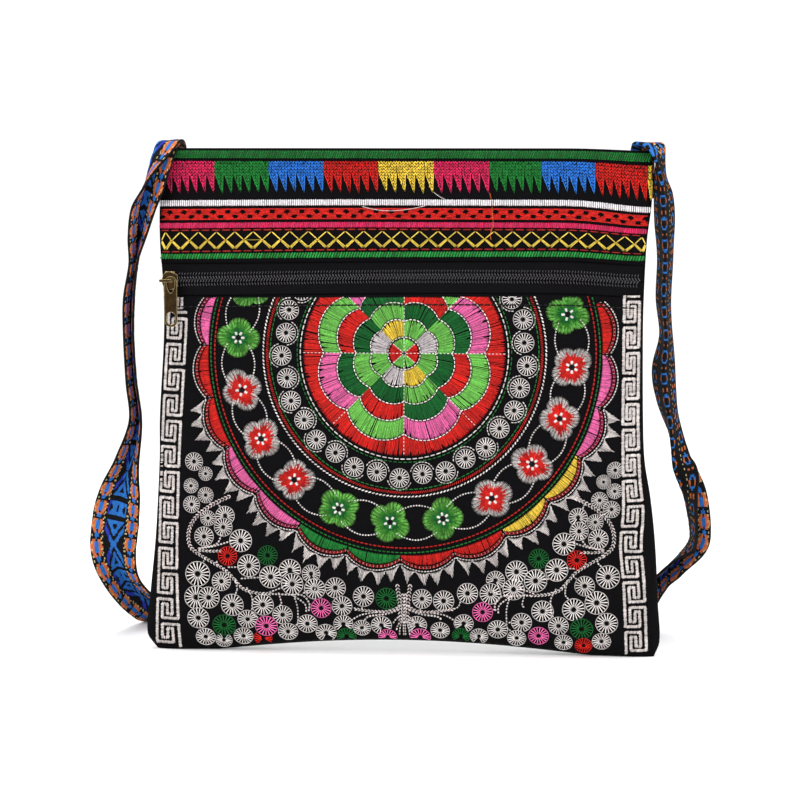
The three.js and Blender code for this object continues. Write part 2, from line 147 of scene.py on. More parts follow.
# Thread wheels of the lower corners: place, radius and thread, those in front after those behind.
CORNER_WHEELS = [
    (-109.2, 104.4, 4.8, "white"), (111.4, 100.0, 4.3, "white"), (105.4, 93.9, 3.7, "white"),
    (-103.0, 98.0, 3.7, "white"), (-110.9, 91.5, 3.9, "white"), (-103.0, 86.6, 4.2, "white"),
    (-110.6, 81.6, 4.5, "white"), (-101.8, 74.3, 4.1, "white"), (-92.7, 75.7, 5.1, "white"),
    (-93.7, 69.6, 4.9, "white"), (-104.0, 64.6, 5.2, "white"), (-84.5, 62.4, 6.0, "white"),
    (-91.5, 54.2, 5.1, "red"), (-70.3, 54.5, 5.2, "forest"), (-80.3, 49.0, 6.0, "white"),
    (-107.6, 44.5, 6.7, "white"), (-94.9, 40.6, 5.1, "white"), (-68.8, 43.0, 6.0, "white"),
    (-58.6, 46.6, 5.8, "white"), (-57.4, 39.1, 5.8, "white"), (-108.6, 31.8, 6.3, "white"),
    (-101.8, 31.8, 5.8, "white"), (-89.2, 27.9, 6.0, "white"), (-73.1, 27.9, 5.8, "white"),
    (-62.8, 22.4, 5.3, "white"), (-107.6, 20.6, 5.9, "white"), (-94.6, 8.0, 4.5, "white"),
    (-93.9, 16.7, 6.2, "forest"), (-81.3, 20.0, 5.3, "white"), (-84.0, 10.4, 5.2, "white"),
    (-73.7, 9.2, 4.8, "red"), (-71.6, 16.1, 6.0, "pink"), (-60.3, 12.8, 5.3, "white"),
    (-104.1, 10.0, 5.3, "white"), (-47.5, 44.6, 4.8, "white"), (-45.6, 36.5, 5.6, "white"),
    (-34.8, 37.0, 5.5, "white"), (-42.4, 26.0, 5.4, "pink"), (-31.4, 27.1, 5.4, "white"),
    (-20.1, 32.2, 5.5, "white"), (-8.1, 31.0, 5.7, "forest"), (-49.9, 17.3, 5.4, "white"),
    (-40.3, 11.9, 5.5, "white"), (-31.0, 17.1, 5.2, "white"), (-29.7, 9.8, 5.2, "forest"),
    (-21.3, 14.8, 4.7, "white"), (-11.0, 16.2, 5.5, "white"), (-8.1, 9.3, 5.0, "pink"),
    (10.6, 31.0, 5.2, "white"), (7.8, 16.6, 5.2, "white"), (9.2, 9.3, 5.6, "pink"),
    (111.2, 89.0, 4.0, "white"), (103.4, 84.3, 4.3, "white"), (109.7, 79.5, 4.4, "white"),
    (92.3, 75.3, 4.9, "white"), (101.3, 72.8, 4.2, "white"), (92.9, 68.0, 4.9, "white"),
    (102.9, 63.8, 5.2, "white"), (85.0, 61.2, 5.9, "white"), (71.9, 53.3, 5.2, "forest"),
    (91.8, 52.7, 5.1, "red"), (81.3, 47.4, 6.0, "white"), (60.3, 46.3, 5.8, "white"),
    (70.3, 41.6, 6.0, "white"), (49.3, 41.6, 4.9, "white"), (58.8, 36.9, 5.7, "white"),
    (46.7, 34.3, 5.6, "white"), (34.6, 34.3, 5.5, "white"), (22.0, 30.1, 5.5, "white"),
    (42.5, 24.3, 5.4, "pink"), (74.0, 25.3, 5.8, "white"), (90.3, 26.4, 6.0, "white"),
    (102.3, 30.1, 6.2, "white"), (96.0, 39.0, 5.3, "white"), (108.1, 43.8, 6.2, "white"),
    (63.0, 19.0, 5.4, "white"), (82.4, 17.4, 5.3, "white"), (94.5, 15.8, 6.0, "forest"),
    (107.6, 19.0, 5.9, "white"), (71.9, 11.6, 5.4, "pink"), (50.4, 14.8, 5.4, "white"),
    (32.5, 17.9, 5.2, "white"), (19.9, 13.7, 5.0, "white"), (30.9, 10.6, 4.8, "forest"),
    (40.4, 10.6, 4.8, "white"), (60.3, 10.0, 5.0, "white"), (85.0, 8.0, 4.8, "white"),
    (95.5, 6.4, 4.6, "red"), (104.9, 9.0, 5.0, "white"),
]
# Stems of the corners, left half, as points of smooth curves with their width; the right half is mirrored.
CORNER_STEMS = [
    (2.3, [(-90.4, 85.9), (-97.2, 82.8), (-104, 78.6), (-109.8, 72.8), (-112.4, 65.9), (-111.4, 59.1),
           (-106.6, 54.8)]),
    (1.7, [(-106.6, 54.8), (-99.3, 50.6), (-91.9, 45.9), (-87.2, 40.6), (-83, 36.4), (-76.2, 34.3),
           (-68.3, 33.8)]),
    (1.1, [(-68.3, 33.8), (-58.9, 33.4), (-52, 33), (-48.5, 28.5), (-49, 24.4)]),
    (1.0, [(-107.4, 58.1), (-97.5, 60.5), (-94.5, 66.0)]),
    (1.4, [(-106.4, 57.1), (-100.5, 56.7), (-95.0, 56.9)]),
    (1.0, [(-106.9, 58.1), (-98.5, 59.5), (-89.0, 62.4)]),
    (0.9, [(-97.5, 51.5), (-95.9, 47.8)]),
    (0.9, [(-91.5, 48.2), (-85.1, 48.3)]),
    (0.9, [(-84.6, 42.1), (-72.6, 42.9)]),
    (0.9, [(-87.5, 42.2), (-86.4, 36.0)]),
    (0.9, [(-81.6, 37.5), (-78.7, 31.9), (-78.9, 24.9)]),
    (0.9, [(-69.7, 34.7), (-61.8, 37.6)]),
    (0.9, [(-64.7, 34.6), (-63.2, 28.6), (-64.7, 27.1)]),
    (0.9, [(-56.8, 33.4), (-54.8, 26.4), (-54.8, 17.3)]),
    (0.9, [(-57.8, 33.5), (-50.9, 28.3), (-50.3, 23.2)]),
    (0.9, [(-51.9, 34.3), (-45.8, 35.2)]),
    (2.5, [(-2.4, 38), (-1.8, 33.5), (-1.2, 28), (-0.9, 23), (-0.8, 18.5)]),
    (2.0, [(0.2, 33), (0.3, 26), (0.3, 18)]),
    (0.8, [(-0.4, 18.5), (-1.4, 14), (-1.8, 9.5)]),
    (0.8, [(0.6, 18.5), (0.5, 14), (0.6, 9.2)]),
    (1.5, [(-1.4, 27), (-3.9, 25.3), (-8.3, 24), (-15, 24.1), (-25.8, 25.6)]),
    (1.2, [(-1.6, 25), (-8.6, 22.6), (-17.3, 21.4), (-20, 18.9)]),
    (0.9, [(-13.3, 23.6), (-20.8, 22.4), (-24.5, 20.6), (-27.2, 18.8)]),
    (0.9, [(-0.6, 22), (-3.2, 19.8), (-5, 17)]),
    (0.9, [(-0.4, 19), (-2.4, 16.2), (-3.4, 12.6)]),
]
THICK_STEM = 1.3

# The upper band: blocks of pointed teeth, then rows of trim with their height and width.
BLOCK_EDGES = (-126.4, -99.2, -70.5, -41.7, -13.0, 16.0, 45.0, 71.9, 99.8, 126.6, 129.0)
BLOCK_THREADS = ("crimson", "green", "blue", "red", "yellow", "crimson", "green", "blue", "red", "yellow")
TEETH_TOP, TEETH_ROOT, TEETH_TIP = 260.4, 254.6, 244.5
TOOTH_STEP, TOOTH_SLOPES = 4.7, (0.92, 0.08)  # shares of a tooth that slope down and up
V_WIDE, V_TALL = 1.65, 1.5
TOP_CORD, WHITE_CORD, RED_BRAID = (263.8, 3.9), (238.9, 3.6), (233.0, 5.9)
PINK_CORD, GREEN_CORD = (227.2, 3.4), (210.6, 3.4)
BRAID_ENDS, BRAID_STEP, BRAID_STRANDS = (-127.4, 127.2), 0.62, 9
BRAID_HOLES = (7.8, (1.75, 1.2))  # from hole to hole in a row, and half a hole's width and height
RUNNING_ROWS = (224.7, 213.4)
LATTICE_MIDDLE, LATTICE_REACH, LATTICE_STEP, LATTICE_ENDS = 219.3, 4.5, 9.712, (-122.4, 121)
# Loose thread ends on the top band: the thread, how far it stands off the cloth, and its path.
LOOSE_ENDS = (
    ("white", 0.4, [(15.9, 244.4), (19.3, 241.9), (22.2, 240.5)]),
    ("white", 2.2, [(11.8, 237.2), (3.6, 235.4), (-5.9, 234.5), (-13.5, 235), (-21, 236.6)]),
    ("strap_orange", 2.2, [(45.3, 244.1), (46.5, 238.3), (46.7, 233.2), (47.1, 227.5), (45.8, 222.4),
                           (46.2, 218.5)]),
)

# Key borders: rows of height, middle line and half width, then the step from unit to unit and the top of the
# first one; and the path of one unit in shares of its box.
KEY_LEFT = (
    ((6.0, -125.9, 7.2), (46.0, -125.4, 6.0), (92.0, -124.2, 5.9), (118.0, -123.0, 5.9), (148.0, -121.2, 6.0),
     (175.0, -119.5, 5.9), (190.0, -118.9, 5.7)),
    13.6, 191.1,
)
KEY_RIGHT = (
    ((6.0, 123.2, 6.2), (40.0, 121.6, 6.2), (60.0, 119.9, 6.3), (78.0, 120.9, 6.0), (95.0, 119.9, 5.2),
     (125.0, 119.1, 4.8), (190.0, 119.3, 4.8)),
    13.35, 200.9,
)
KEY_UNIT = ((0, 1), (0.72, 1), (0.72, 0.22), (0.49, 0.22), (0.49, 0.75), (0.245, 0.75), (0.245, 0), (1, 0))
KEY_TALL, KEY_WIDE, KEY_LINE, KEY_PITCH = 10.2, 9.4, 1.8, 0.47

# Under the top band: the line of topstitching below the zip, and the zip's coil from end to end.
TOPSTITCHING = 184.0
COIL_ENDS, COIL_STEP, COIL_SHIFT = (-118.9, 124.4), 1.55, 0.39
COIL_LOOP = ((0, 3.7), (-0.75, 1.9), (0.6, -0.5))  # foot, knee and head of a loop, across and up

# The camera: degrees to the right and up, metres away, the height that it is aimed at, the width of its frame
# at the bag in metres, and how far right of and below its middle the aimed point lies, in shares of it.
VIEW_TURN, VIEW_RISE, VIEW_AWAY, VIEW_HEIGHT, VIEW_WIDE = 5, 6, 1.4, 133.0, 0.42188
VIEW_SHIFT = (4 / 800, 3.5 / 800)
SENSOR = 36


def linear(code):
    """An sRGB hex colour as linear red, green and blue."""
    share = np.array([int(code[i : i + 2], 16) for i in (1, 3, 5)]) / 255
    return tuple(np.where(share <= 0.04045, share / 12.92, ((share + 0.055) / 1.055) ** 2.4).tolist())


def colour_property(label, description, code):
    """A colour that a user may change, from its sRGB hex value."""
    return FloatVectorProperty(name=label, description=description, subtype="COLOR", size=3, min=0, max=1,
                               default=linear(code))


class BagColours(bpy.types.PropertyGroup):
    """Thread, cloth and metal colours of the bag."""

    cloth: colour_property("Cloth", "Black cotton of the walls", "#0f0e10")
    white: colour_property("White", "White embroidery thread", "#dcd6d3")
    silver: colour_property("Silver", "Greyish white thread of the inner petals", "#d9d0d2")
    red: colour_property("Red", "Red embroidery thread", "#d8231b")
    crimson: colour_property("Crimson", "Crimson pink thread of the band", "#df2a62")
    pink: colour_property("Pink", "Light pink embroidery thread", "#ee72b0")
    leaf: colour_property("Leaf", "Light green embroidery thread", "#7ccb5c")
    forest: colour_property("Forest", "Dark green embroidery thread", "#12692c")
    green: colour_property("Green", "Green thread of the band and its cords", "#1f8a38")
    yellow: colour_property("Yellow", "Yellow embroidery thread", "#efd04a")
    blue: colour_property("Blue", "Blue embroidery thread", "#2f80dc")
    strap_blue: colour_property("Strap blue", "Blue warp of the strap", "#2d74c8")
    strap_navy: colour_property("Strap navy", "Dark blue warp of the strap", "#2a3cb4")
    strap_orange: colour_property("Strap orange", "Orange warp of the strap", "#d2703c")
    strap_cream: colour_property("Strap cream", "Pale dots of the strap", "#cdbb88")
    brass: colour_property("Brass", "Bright places of the aged brass", "#4a3820")
    patina: colour_property("Patina", "Dark places of the aged brass", "#1e160e")


class BagSizes(bpy.types.PropertyGroup):
    """Sizes of the thread work and the strap that a user may change."""

    thread: FloatProperty(name="Thread", description="Width of one strand of embroidery thread",
                          default=0.00050, min=0.0002, max=0.002, unit="LENGTH", precision=5)
    pitch: FloatProperty(name="Stitch spacing", description="Distance from one satin stitch to the next",
                         default=0.00043, min=0.0002, max=0.002, unit="LENGTH", precision=5)
    proud: FloatProperty(name="Stitch height", description="How far a satin stitch stands off the cloth",
                         default=0.00042, min=0.0001, max=0.002, unit="LENGTH", precision=5)
    spokes: IntProperty(name="Wheel spokes", description="Radial stitches of one thread wheel",
                        default=18, min=8, max=40)
    strap_width: FloatProperty(name="Strap width", description="Width of the woven strap laid flat",
                               default=0.026, min=0.01, max=0.06, unit="LENGTH")
    strap_thick: FloatProperty(name="Strap thickness", description="Thickness of the woven strap",
                               default=0.0014, min=0.0005, max=0.004, unit="LENGTH", precision=4)


def sizes():
    """The sizes in use, kept with the scene."""
    return bpy.context.scene.bag_sizes


def dye(name):
    """A thread or cloth colour in use, as linear red, green and blue."""
    return np.array(getattr(bpy.context.scene.bag_colours, name))


def loose(count, seed):
    """Evenly scattered numbers from 0 to 1, the same on every run."""
    return np.random.default_rng(seed * 7919 + count).random(count)


def smooth_step(value, low, high):
    """0 below low, 1 above high, and an S curve between."""
    t = np.clip((value - low) / (high - low), 0, 1)
    return t * t * (3 - 2 * t)


def along(keys, values, at):
    """Values between the keys, on cubic curves whose slope at a key is that between its neighbours."""
    keys, values, at = np.asarray(keys, float), np.asarray(values, float), np.asarray(at, float)
    flat = values.reshape(len(keys), -1)
    row = np.arange(len(keys))
    before, after = np.maximum(row - 1, 0), np.minimum(row + 1, len(keys) - 1)
    slope = (flat[after] - flat[before]) / (keys[after] - keys[before])[:, None]
    i = np.clip(np.searchsorted(keys, at.ravel(), side="right") - 1, 0, len(keys) - 2)
    span = (keys[i + 1] - keys[i])[:, None]
    t = np.clip((at.ravel()[:, None] - keys[i][:, None]) / span, 0, 1)
    bend = t * (1 - t) * span * ((1 - t) * slope[i] - t * slope[i + 1])
    result = flat[i] + (flat[i + 1] - flat[i]) * t * t * (3 - 2 * t) + bend
    return result.reshape(at.shape + values.shape[1:])


def unit_length(ways):
    """Directions brought to a length of one."""
    return ways / np.linalg.norm(ways, axis=-1, keepdims=True)


def ray(angle):
    """The ways that angles point on the pattern."""
    return np.stack([np.cos(angle), np.sin(angle)], -1)


def left_of(way):
    """Pattern directions a quarter turn to the left of others."""
    return np.stack([-way[:, 1], way[:, 0]], -1)


def spans(path):
    """Distance from each point of a path to the next."""
    return np.linalg.norm(np.diff(path, axis=0), axis=1)


def path_length(path):
    """Length of a path of points."""
    return spans(path).sum()


def path_run(path):
    """Distance of each point of a path from its start."""
    return np.concatenate([[0], np.cumsum(spans(path))])


def smooth_path(points, step=0.5):
    """A smooth curve through the points, sampled about every step millimetres."""
    points = np.asarray(points, float)
    count = max(int(path_length(points) / step), 4)
    return along(np.arange(len(points)), points, np.linspace(0, len(points) - 1, count))


def walk(path, at):
    """Places and directions along a path of points, at distances from its start."""
    run = path_run(path)
    place, ahead, behind = (np.stack([np.interp(at + shift, run, path[:, k]) for k in (0, 1)], -1)
                            for shift in (0, 0.15, -0.15))
    way = ahead - behind
    return place, way / np.maximum(np.linalg.norm(way, axis=1, keepdims=True), 1e-9)


def wall_arch(u):
    """How far the bottom edge rises between its two feet, from the left seam at 0 to the right one at 1."""
    return FOOT_ARCH * np.sin(np.pi * np.clip(u, 0, 1)).clip(0) ** 1.2 - FOOT_FLAT


def wall_droop(u, v):
    """How far the right shoulder sinks, below an edge that the strap holds up."""
    return SHOULDER_DROOP * smooth_step(u, 0.8, 1) ** 1.5 * v**3 * (1 - 0.75 * smooth_step(v, 0.93, 1))


def zip_climb(u, v):
    """How far the zip and the cloth beside it climb towards the right seam."""
    z = v * HEIGHT
    low = smooth_step(z, ZIP_MIDDLE - 45, ZIP_MIDDLE - 10)
    high = smooth_step(z, ZIP_MIDDLE + 8, ZIP_MIDDLE + 32)
    return ZIP_RISE * u * low * (1 - high)


def outline(z):
    """The left and right edge of the pouch at heights above the floor."""
    return along(SECTION_Z, SECTION_LEFT, z), along(SECTION_Z, SECTION_RIGHT, z)


def wall(side, u, v, inset=0.0):
    """A cloth wall: across from seam to seam and up from the bottom edge, its depth the section's depth times
    a rounding to the side seams and one to the bottom edge. side is -1 for the front and 1 for the back."""
    u, v = np.broadcast_arrays(np.clip(u, 0, 1), v)
    z = v * HEIGHT + zip_climb(u, v) + (wall_arch(u) + inset) * (1 - v) ** 2 - wall_droop(u, v)
    z = np.maximum(z, inset)
    left, right = outline(z)
    left, right = left + inset, right - inset
    x = left + (right - left) * u
    depth = along(SECTION_Z, SECTION_FRONT if side < 0 else SECTION_BACK, z) - inset
    side_round = np.sqrt(np.clip(1 - np.abs(2 * u - 1) ** 6, 0, 1))
    low = np.clip(1 - v * HEIGHT / BOTTOM_ROUND, 0, 1)
    y = side * (depth * side_round * np.sqrt(1 - low**3) + SEAM_GAP / 2)
    return np.stack([x, y + pucker(side, u, x, z), z], -1)


def pucker(side, u, x, z):
    """Slight waves of the cloth: a product of two slow sines plus a third, fading to the seams and zip."""
    inside = np.clip(4 * u * (1 - u), 0, 1)
    fade = inside * smooth_step(np.abs(z - ZIP_MIDDLE), 14, 40) * smooth_step(z, 3, 40)
    wave = np.sin(x / 11 + z / 17) * np.sin(z / 13 - x / 29 + 1) + 0.6 * np.sin(x / 23 - z / 9 + 2)
    return side * PUCKER * fade * wave


def front_place(p, inset=0.0):
    """The front wall over a pattern point (x, z): u from the outline at that height, v by repeated steps."""
    x, z = p[..., 0], p[..., 1]
    left, right = outline(z)
    u = np.clip((x - left) / (right - left), 0, 1)
    v = z / HEIGHT
    for _ in range(5):
        v = (z + wall_droop(u, v) - zip_climb(u, v) - wall_arch(u) * (1 - v) ** 2) / HEIGHT
    return wall(-1, u, np.clip(v, 0, 1), inset)


def band_place(p, inset=0.0):
    """The front over a pattern point (x, height before the zip climbs and the shoulder sinks). The rows of
    the upper band sag a little at the left."""
    x, rise = p[..., 0], p[..., 1]
    left, right = outline(rise)
    lean = np.clip(-x / HALF_WIDTH, 0, 1) ** 2
    sag = BAND_SAG * lean * smooth_step(rise, 207, 215) * (1 - smooth_step(rise, 245, 262))
    return wall(-1, (x - left) / (right - left), (rise - sag) / HEIGHT, inset)


def tape_place(p):
    """The zip tape's face over a pattern point."""
    return band_place(p, TAPE_RECESS)


def add_node(tree, kind, links=None, **settings):
    """A shader node with its settings, and its inputs set to values or linked to other nodes' outputs."""
    made = tree.nodes.new(kind)
    for name, value in settings.items():
        setattr(made, name, value)
    for socket, value in (links or {}).items():
        if isinstance(value, bpy.types.NodeSocket):
            tree.links.new(value, made.inputs[socket])
        else:
            made.inputs[socket].default_value = value
    return made


def start_material(name, **sockets):
    """A named material with a Principled shader, constants on its sockets, and its tree and shader."""
    made = bpy.data.materials.new(name)
    made.use_nodes = True
    shader = made.node_tree.nodes["Principled BSDF"]
    for socket, value in sockets.items():
        shader.inputs[socket.replace("_", " ")].default_value = value
    return made, made.node_tree, shader


def kept_material(name, make):
    """A material by name, made when it is first asked for."""
    return bpy.data.materials.get(name) or make(name)


def rib_scale(pitch):
    """Scale of a wave texture that gives one rib for each pitch."""
    return math.pi / (10 * pitch)


def embroidery_thread(name):
    """Stranded rayon thread: a soft satin gloss, fine flecks of light and dark along the strand."""
    made, tree, shader = start_material(name, Roughness=0.5, Specular_IOR_Level=0.22)
    place = add_node(tree, "ShaderNodeTexCoord").outputs["Object"]
    strand = add_node(tree, "ShaderNodeAttribute", attribute_name="thread")
    fleck = add_node(tree, "ShaderNodeTexNoise", {"Vector": place, "Scale": 0.6 / (0.5 * MM), "Detail": 3.0})
    shade = add_node(tree, "ShaderNodeMapRange", {"Value": fleck.outputs["Fac"], "From Min": 0.3,
                                                  "From Max": 0.7, "To Min": 0.66, "To Max": 1.16})
    colour = add_node(tree, "ShaderNodeMix", {0: 1.0, 6: strand.outputs["Color"],
                                              7: shade.outputs["Result"]},
                      data_type="RGBA", blend_type="MULTIPLY")
    bump = add_node(tree, "ShaderNodeBump", {"Height": fleck.outputs["Fac"], "Distance": 0.08 * MM})
    tree.links.new(colour.outputs[2], shader.inputs["Base Color"])
    tree.links.new(bump.outputs["Normal"], shader.inputs["Normal"])
    return made


def black_cotton(name):
    """Plain woven black cotton: matt, a crossed weave, drawn a little coarse at 0.7 mm so that it shows."""
    made, tree, shader = start_material(name, Roughness=0.92, Specular_IOR_Level=0.04)
    place = add_node(tree, "ShaderNodeTexCoord").outputs["Object"]
    weave = [add_node(tree, "ShaderNodeTexWave", {"Vector": place, "Scale": rib_scale(0.7 * MM),
                                                  "Distortion": 0.6, "Detail": 1.0}, bands_direction=way)
             for way in ("X", "Z")]
    crossed = add_node(tree, "ShaderNodeMath", {0: weave[0].outputs["Fac"], 1: weave[1].outputs["Fac"]},
                       operation="MULTIPLY")
    lint = add_node(tree, "ShaderNodeTexNoise", {"Vector": place, "Scale": 1 / (9 * MM), "Detail": 5.0})
    tone = add_node(tree, "ShaderNodeMath", {0: crossed.outputs[0], 1: lint.outputs["Fac"]},
                    operation="MULTIPLY")
    cloth = dye("cloth")
    colour = add_node(tree, "ShaderNodeMix", {0: tone.outputs[0], 6: (*(cloth * 0.6), 1),
                                              7: (*(cloth * 1.3), 1)}, data_type="RGBA")
    bump = add_node(tree, "ShaderNodeBump", {"Height": crossed.outputs[0], "Distance": 0.15 * MM})
    tree.links.new(colour.outputs[2], shader.inputs["Base Color"])
    tree.links.new(bump.outputs["Normal"], shader.inputs["Normal"])
    return made


def woven_tape(name):
    """Black polyester zip tape: smoother than cotton, with a close slanting rib."""
    made, tree, shader = start_material(name, Roughness=0.75, Specular_IOR_Level=0.03)
    place = add_node(tree, "ShaderNodeTexCoord").outputs["Object"]
    rib = add_node(tree, "ShaderNodeTexWave", {"Vector": place, "Scale": rib_scale(0.8 * MM),
                                               "Distortion": 0.4}, bands_direction="DIAGONAL")
    cloth = dye("cloth")
    colour = add_node(tree, "ShaderNodeMix", {0: rib.outputs["Fac"], 6: (*(cloth * 0.5), 1),
                                              7: (*(cloth * 1.0), 1)}, data_type="RGBA")
    bump = add_node(tree, "ShaderNodeBump", {"Height": rib.outputs["Fac"], "Distance": 0.12 * MM})
    tree.links.new(colour.outputs[2], shader.inputs["Base Color"])
    tree.links.new(bump.outputs["Normal"], shader.inputs["Normal"])
    return made


def nylon_coil(name):
    """Drawn black nylon: smooth, with a clear narrow gloss, and cloudy patches lightened as painted
    highlight.
    """
    made, tree, shader = start_material(name, Roughness=0.24, Specular_IOR_Level=0.6)
    place = add_node(tree, "ShaderNodeTexCoord").outputs["Object"]
    cloud = add_node(tree, "ShaderNodeTexNoise", {"Vector": place, "Scale": 1 / (2 * MM), "Detail": 3.0})
    cloth = dye("cloth")
    # Painted highlight: the black is drawn three to nine times lighter than the cloth, for the coil's glints.
    colour = add_node(tree, "ShaderNodeMix", {0: cloud.outputs["Fac"], 6: (*(cloth * 3.0), 1),
                                              7: (*(cloth * 9.0), 1)}, data_type="RGBA")
    bump = add_node(tree, "ShaderNodeBump", {"Height": cloud.outputs["Fac"], "Distance": 0.05 * MM})
    tree.links.new(colour.outputs[2], shader.inputs["Base Color"])
    tree.links.new(bump.outputs["Normal"], shader.inputs["Normal"])
    return made


def antique_brass(name):
    """Cast brass with a brown patina, worn a little in cloudy places, and with a painted highlight of bright
    metal colour along its edges. An edge is where a rounded normal turns away from the surface's own."""
    made, tree, shader = start_material(name, Metallic=1.0)
    place = add_node(tree, "ShaderNodeTexCoord").outputs["Object"]
    cloud = add_node(tree, "ShaderNodeTexNoise", {"Vector": place, "Scale": 1 / (6 * MM), "Detail": 6.0,
                                                  "Roughness": 0.65})
    wear = add_node(tree, "ShaderNodeMapRange", {"Value": cloud.outputs["Fac"], "From Min": 0.28,
                                                 "From Max": 0.78})
    aged = add_node(tree, "ShaderNodeMix", {0: wear.outputs["Result"], 6: (*dye("patina"), 1),
                                            7: (*dye("brass"), 1)}, data_type="RGBA")
    gloss = add_node(tree, "ShaderNodeMapRange", {"Value": wear.outputs["Result"], "To Min": 0.42,
                                                  "To Max": 0.28})
    rounded = add_node(tree, "ShaderNodeBevel", {"Radius": 0.45 * MM}, samples=8)
    surface = add_node(tree, "ShaderNodeNewGeometry")
    level = add_node(tree, "ShaderNodeVectorMath", {0: rounded.outputs["Normal"],
                                                    1: surface.outputs["Normal"]}, operation="DOT_PRODUCT")
    edge = add_node(tree, "ShaderNodeMapRange", {"Value": level.outputs["Value"], "From Min": 0.985,
                                                 "From Max": 0.86})
    # Painted highlight: along the edges the colour goes over to the brass made eight to fifteen times
    # brighter.
    colour = add_node(tree, "ShaderNodeMix", {0: edge.outputs["Result"], 6: aged.outputs[2],
                                              7: (*(dye("brass") * (8, 11, 15)), 1)}, data_type="RGBA")
    soft = add_node(tree, "ShaderNodeBevel", {"Radius": 0.4 * MM}, samples=6)
    bump = add_node(tree, "ShaderNodeBump", {"Height": cloud.outputs["Fac"], "Distance": 0.1 * MM,
                                             "Normal": soft.outputs["Normal"]})
    tree.links.new(colour.outputs[2], shader.inputs["Base Color"])
    tree.links.new(gloss.outputs["Result"], shader.inputs["Roughness"])
    tree.links.new(bump.outputs["Normal"], shader.inputs["Normal"])
    return made


def woven_band(name):
    """Warp faced cotton band: coloured warp floats in close ribs, crossed by the weft about every millimetre.
    Its UV map is in centimetres."""
    made, tree, shader = start_material(name, Roughness=0.8, Specular_IOR_Level=0.12)
    cell = add_node(tree, "ShaderNodeUVMap", uv_map="cloth").outputs["UV"]
    warp = add_node(tree, "ShaderNodeAttribute", attribute_name="thread")
    rib = add_node(tree, "ShaderNodeTexWave", {"Vector": cell, "Scale": rib_scale(0.06)}, bands_direction="X")
    pick = add_node(tree, "ShaderNodeTexWave", {"Vector": cell, "Scale": rib_scale(0.1), "Distortion": 1.0},
                    bands_direction="Y")
    relief = add_node(tree, "ShaderNodeMath", {0: rib.outputs["Fac"], 1: pick.outputs["Fac"], 2: 0.3},
                      operation="MULTIPLY_ADD")
    shade = add_node(tree, "ShaderNodeMapRange", {"Value": relief.outputs[0], "From Max": 1.3,
                                                  "To Min": 0.62, "To Max": 1.12})
    colour = add_node(tree, "ShaderNodeMix", {0: 1.0, 6: warp.outputs["Color"], 7: shade.outputs["Result"]},
                      data_type="RGBA", blend_type="MULTIPLY")
    bump = add_node(tree, "ShaderNodeBump", {"Height": relief.outputs[0], "Distance": 0.25 * MM})
    tree.links.new(colour.outputs[2], shader.inputs["Base Color"])
    tree.links.new(bump.outputs["Normal"], shader.inputs["Normal"])
    return made


def studio_paper(name):
    """Matt white paper of the stage, with a barely seen mottle."""
    made, tree, shader = start_material(name, Roughness=0.95, Specular_IOR_Level=0.1)
    place = add_node(tree, "ShaderNodeTexCoord").outputs["Object"]
    mottle = add_node(tree, "ShaderNodeTexNoise", {"Vector": place, "Scale": 6.0})
    white = add_node(tree, "ShaderNodeMix", {0: mottle.outputs["Fac"], 6: (*linear("#f6f6f6"), 1),
                                             7: (*linear("#fbfbfb"), 1)}, data_type="RGBA")
    tree.links.new(white.outputs[2], shader.inputs["Base Color"])
    return made


def make_piece(name, points, faces, material, slot=None, colours=None, cloth_uv=None, body="bag"):
    """An object at the origin from points in bag millimetres and faces of equal size. colours hold one row
    for each point or for each face. A piece without a body belongs to the stage."""
    mesh = bpy.data.meshes.new(name)
    faces = np.ascontiguousarray(faces, np.int32)
    mesh.vertices.add(len(points))
    mesh.vertices.foreach_set("co", ((points + ORIGIN) * MM).astype(np.float32).ravel())
    mesh.loops.add(faces.size)
    mesh.loops.foreach_set("vertex_index", faces.ravel())
    mesh.polygons.add(len(faces))
    mesh.polygons.foreach_set("loop_start", np.arange(0, faces.size, faces.shape[1], dtype=np.int32))
    mesh.polygons.foreach_set("use_smooth", np.ones(len(faces), bool))
    if colours is not None:
        by_point = len(colours) == len(points)
        rows = colours if by_point else np.repeat(colours, faces.shape[1], 0)
        layer = mesh.color_attributes.new("thread", "FLOAT_COLOR", "POINT" if by_point else "CORNER")
        opaque = np.column_stack([rows, np.ones(len(rows))])
        layer.data.foreach_set("color", opaque.astype(np.float32).ravel())
    if cloth_uv is not None:
        layer = mesh.uv_layers.new(name="cloth")
        layer.data.foreach_set("uv", cloth_uv[faces.ravel()].astype(np.float32).ravel())
    mesh.materials.append(material)
    mesh.update(calc_edges=True)
    mesh.validate()
    made = bpy.data.objects.new(name, mesh)
    bpy.context.collection.objects.link(made)
    if body:
        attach(made, body)
    return made


def grid_faces(rows, columns, start=0):
    """Quads of a grid whose points run along its columns first."""
    i, j = np.meshgrid(np.arange(columns - 1), np.arange(rows - 1))
    a = start + (j * columns + i).ravel()
    return np.stack([a, a + 1, a + 1 + columns, a + columns], -1)


def shell(outer, inner):
    """A closed sheet from the grids of its two faces: quads of both and a strip of quads round the rim."""
    rows, columns = outer.shape[:2]
    count = rows * columns
    index = np.arange(count).reshape(rows, columns)
    rim = np.concatenate([index[0, :-1], index[:-1, -1], index[-1, :0:-1], index[:0:-1, 0]])
    ahead = np.roll(rim, -1)
    faces = np.concatenate([
        grid_faces(rows, columns),
        grid_faces(rows, columns, count)[:, ::-1],
        np.stack([ahead, rim, rim + count, ahead + count], -1),
    ])
    return np.concatenate([outer.reshape(-1, 3), inner.reshape(-1, 3)]), faces


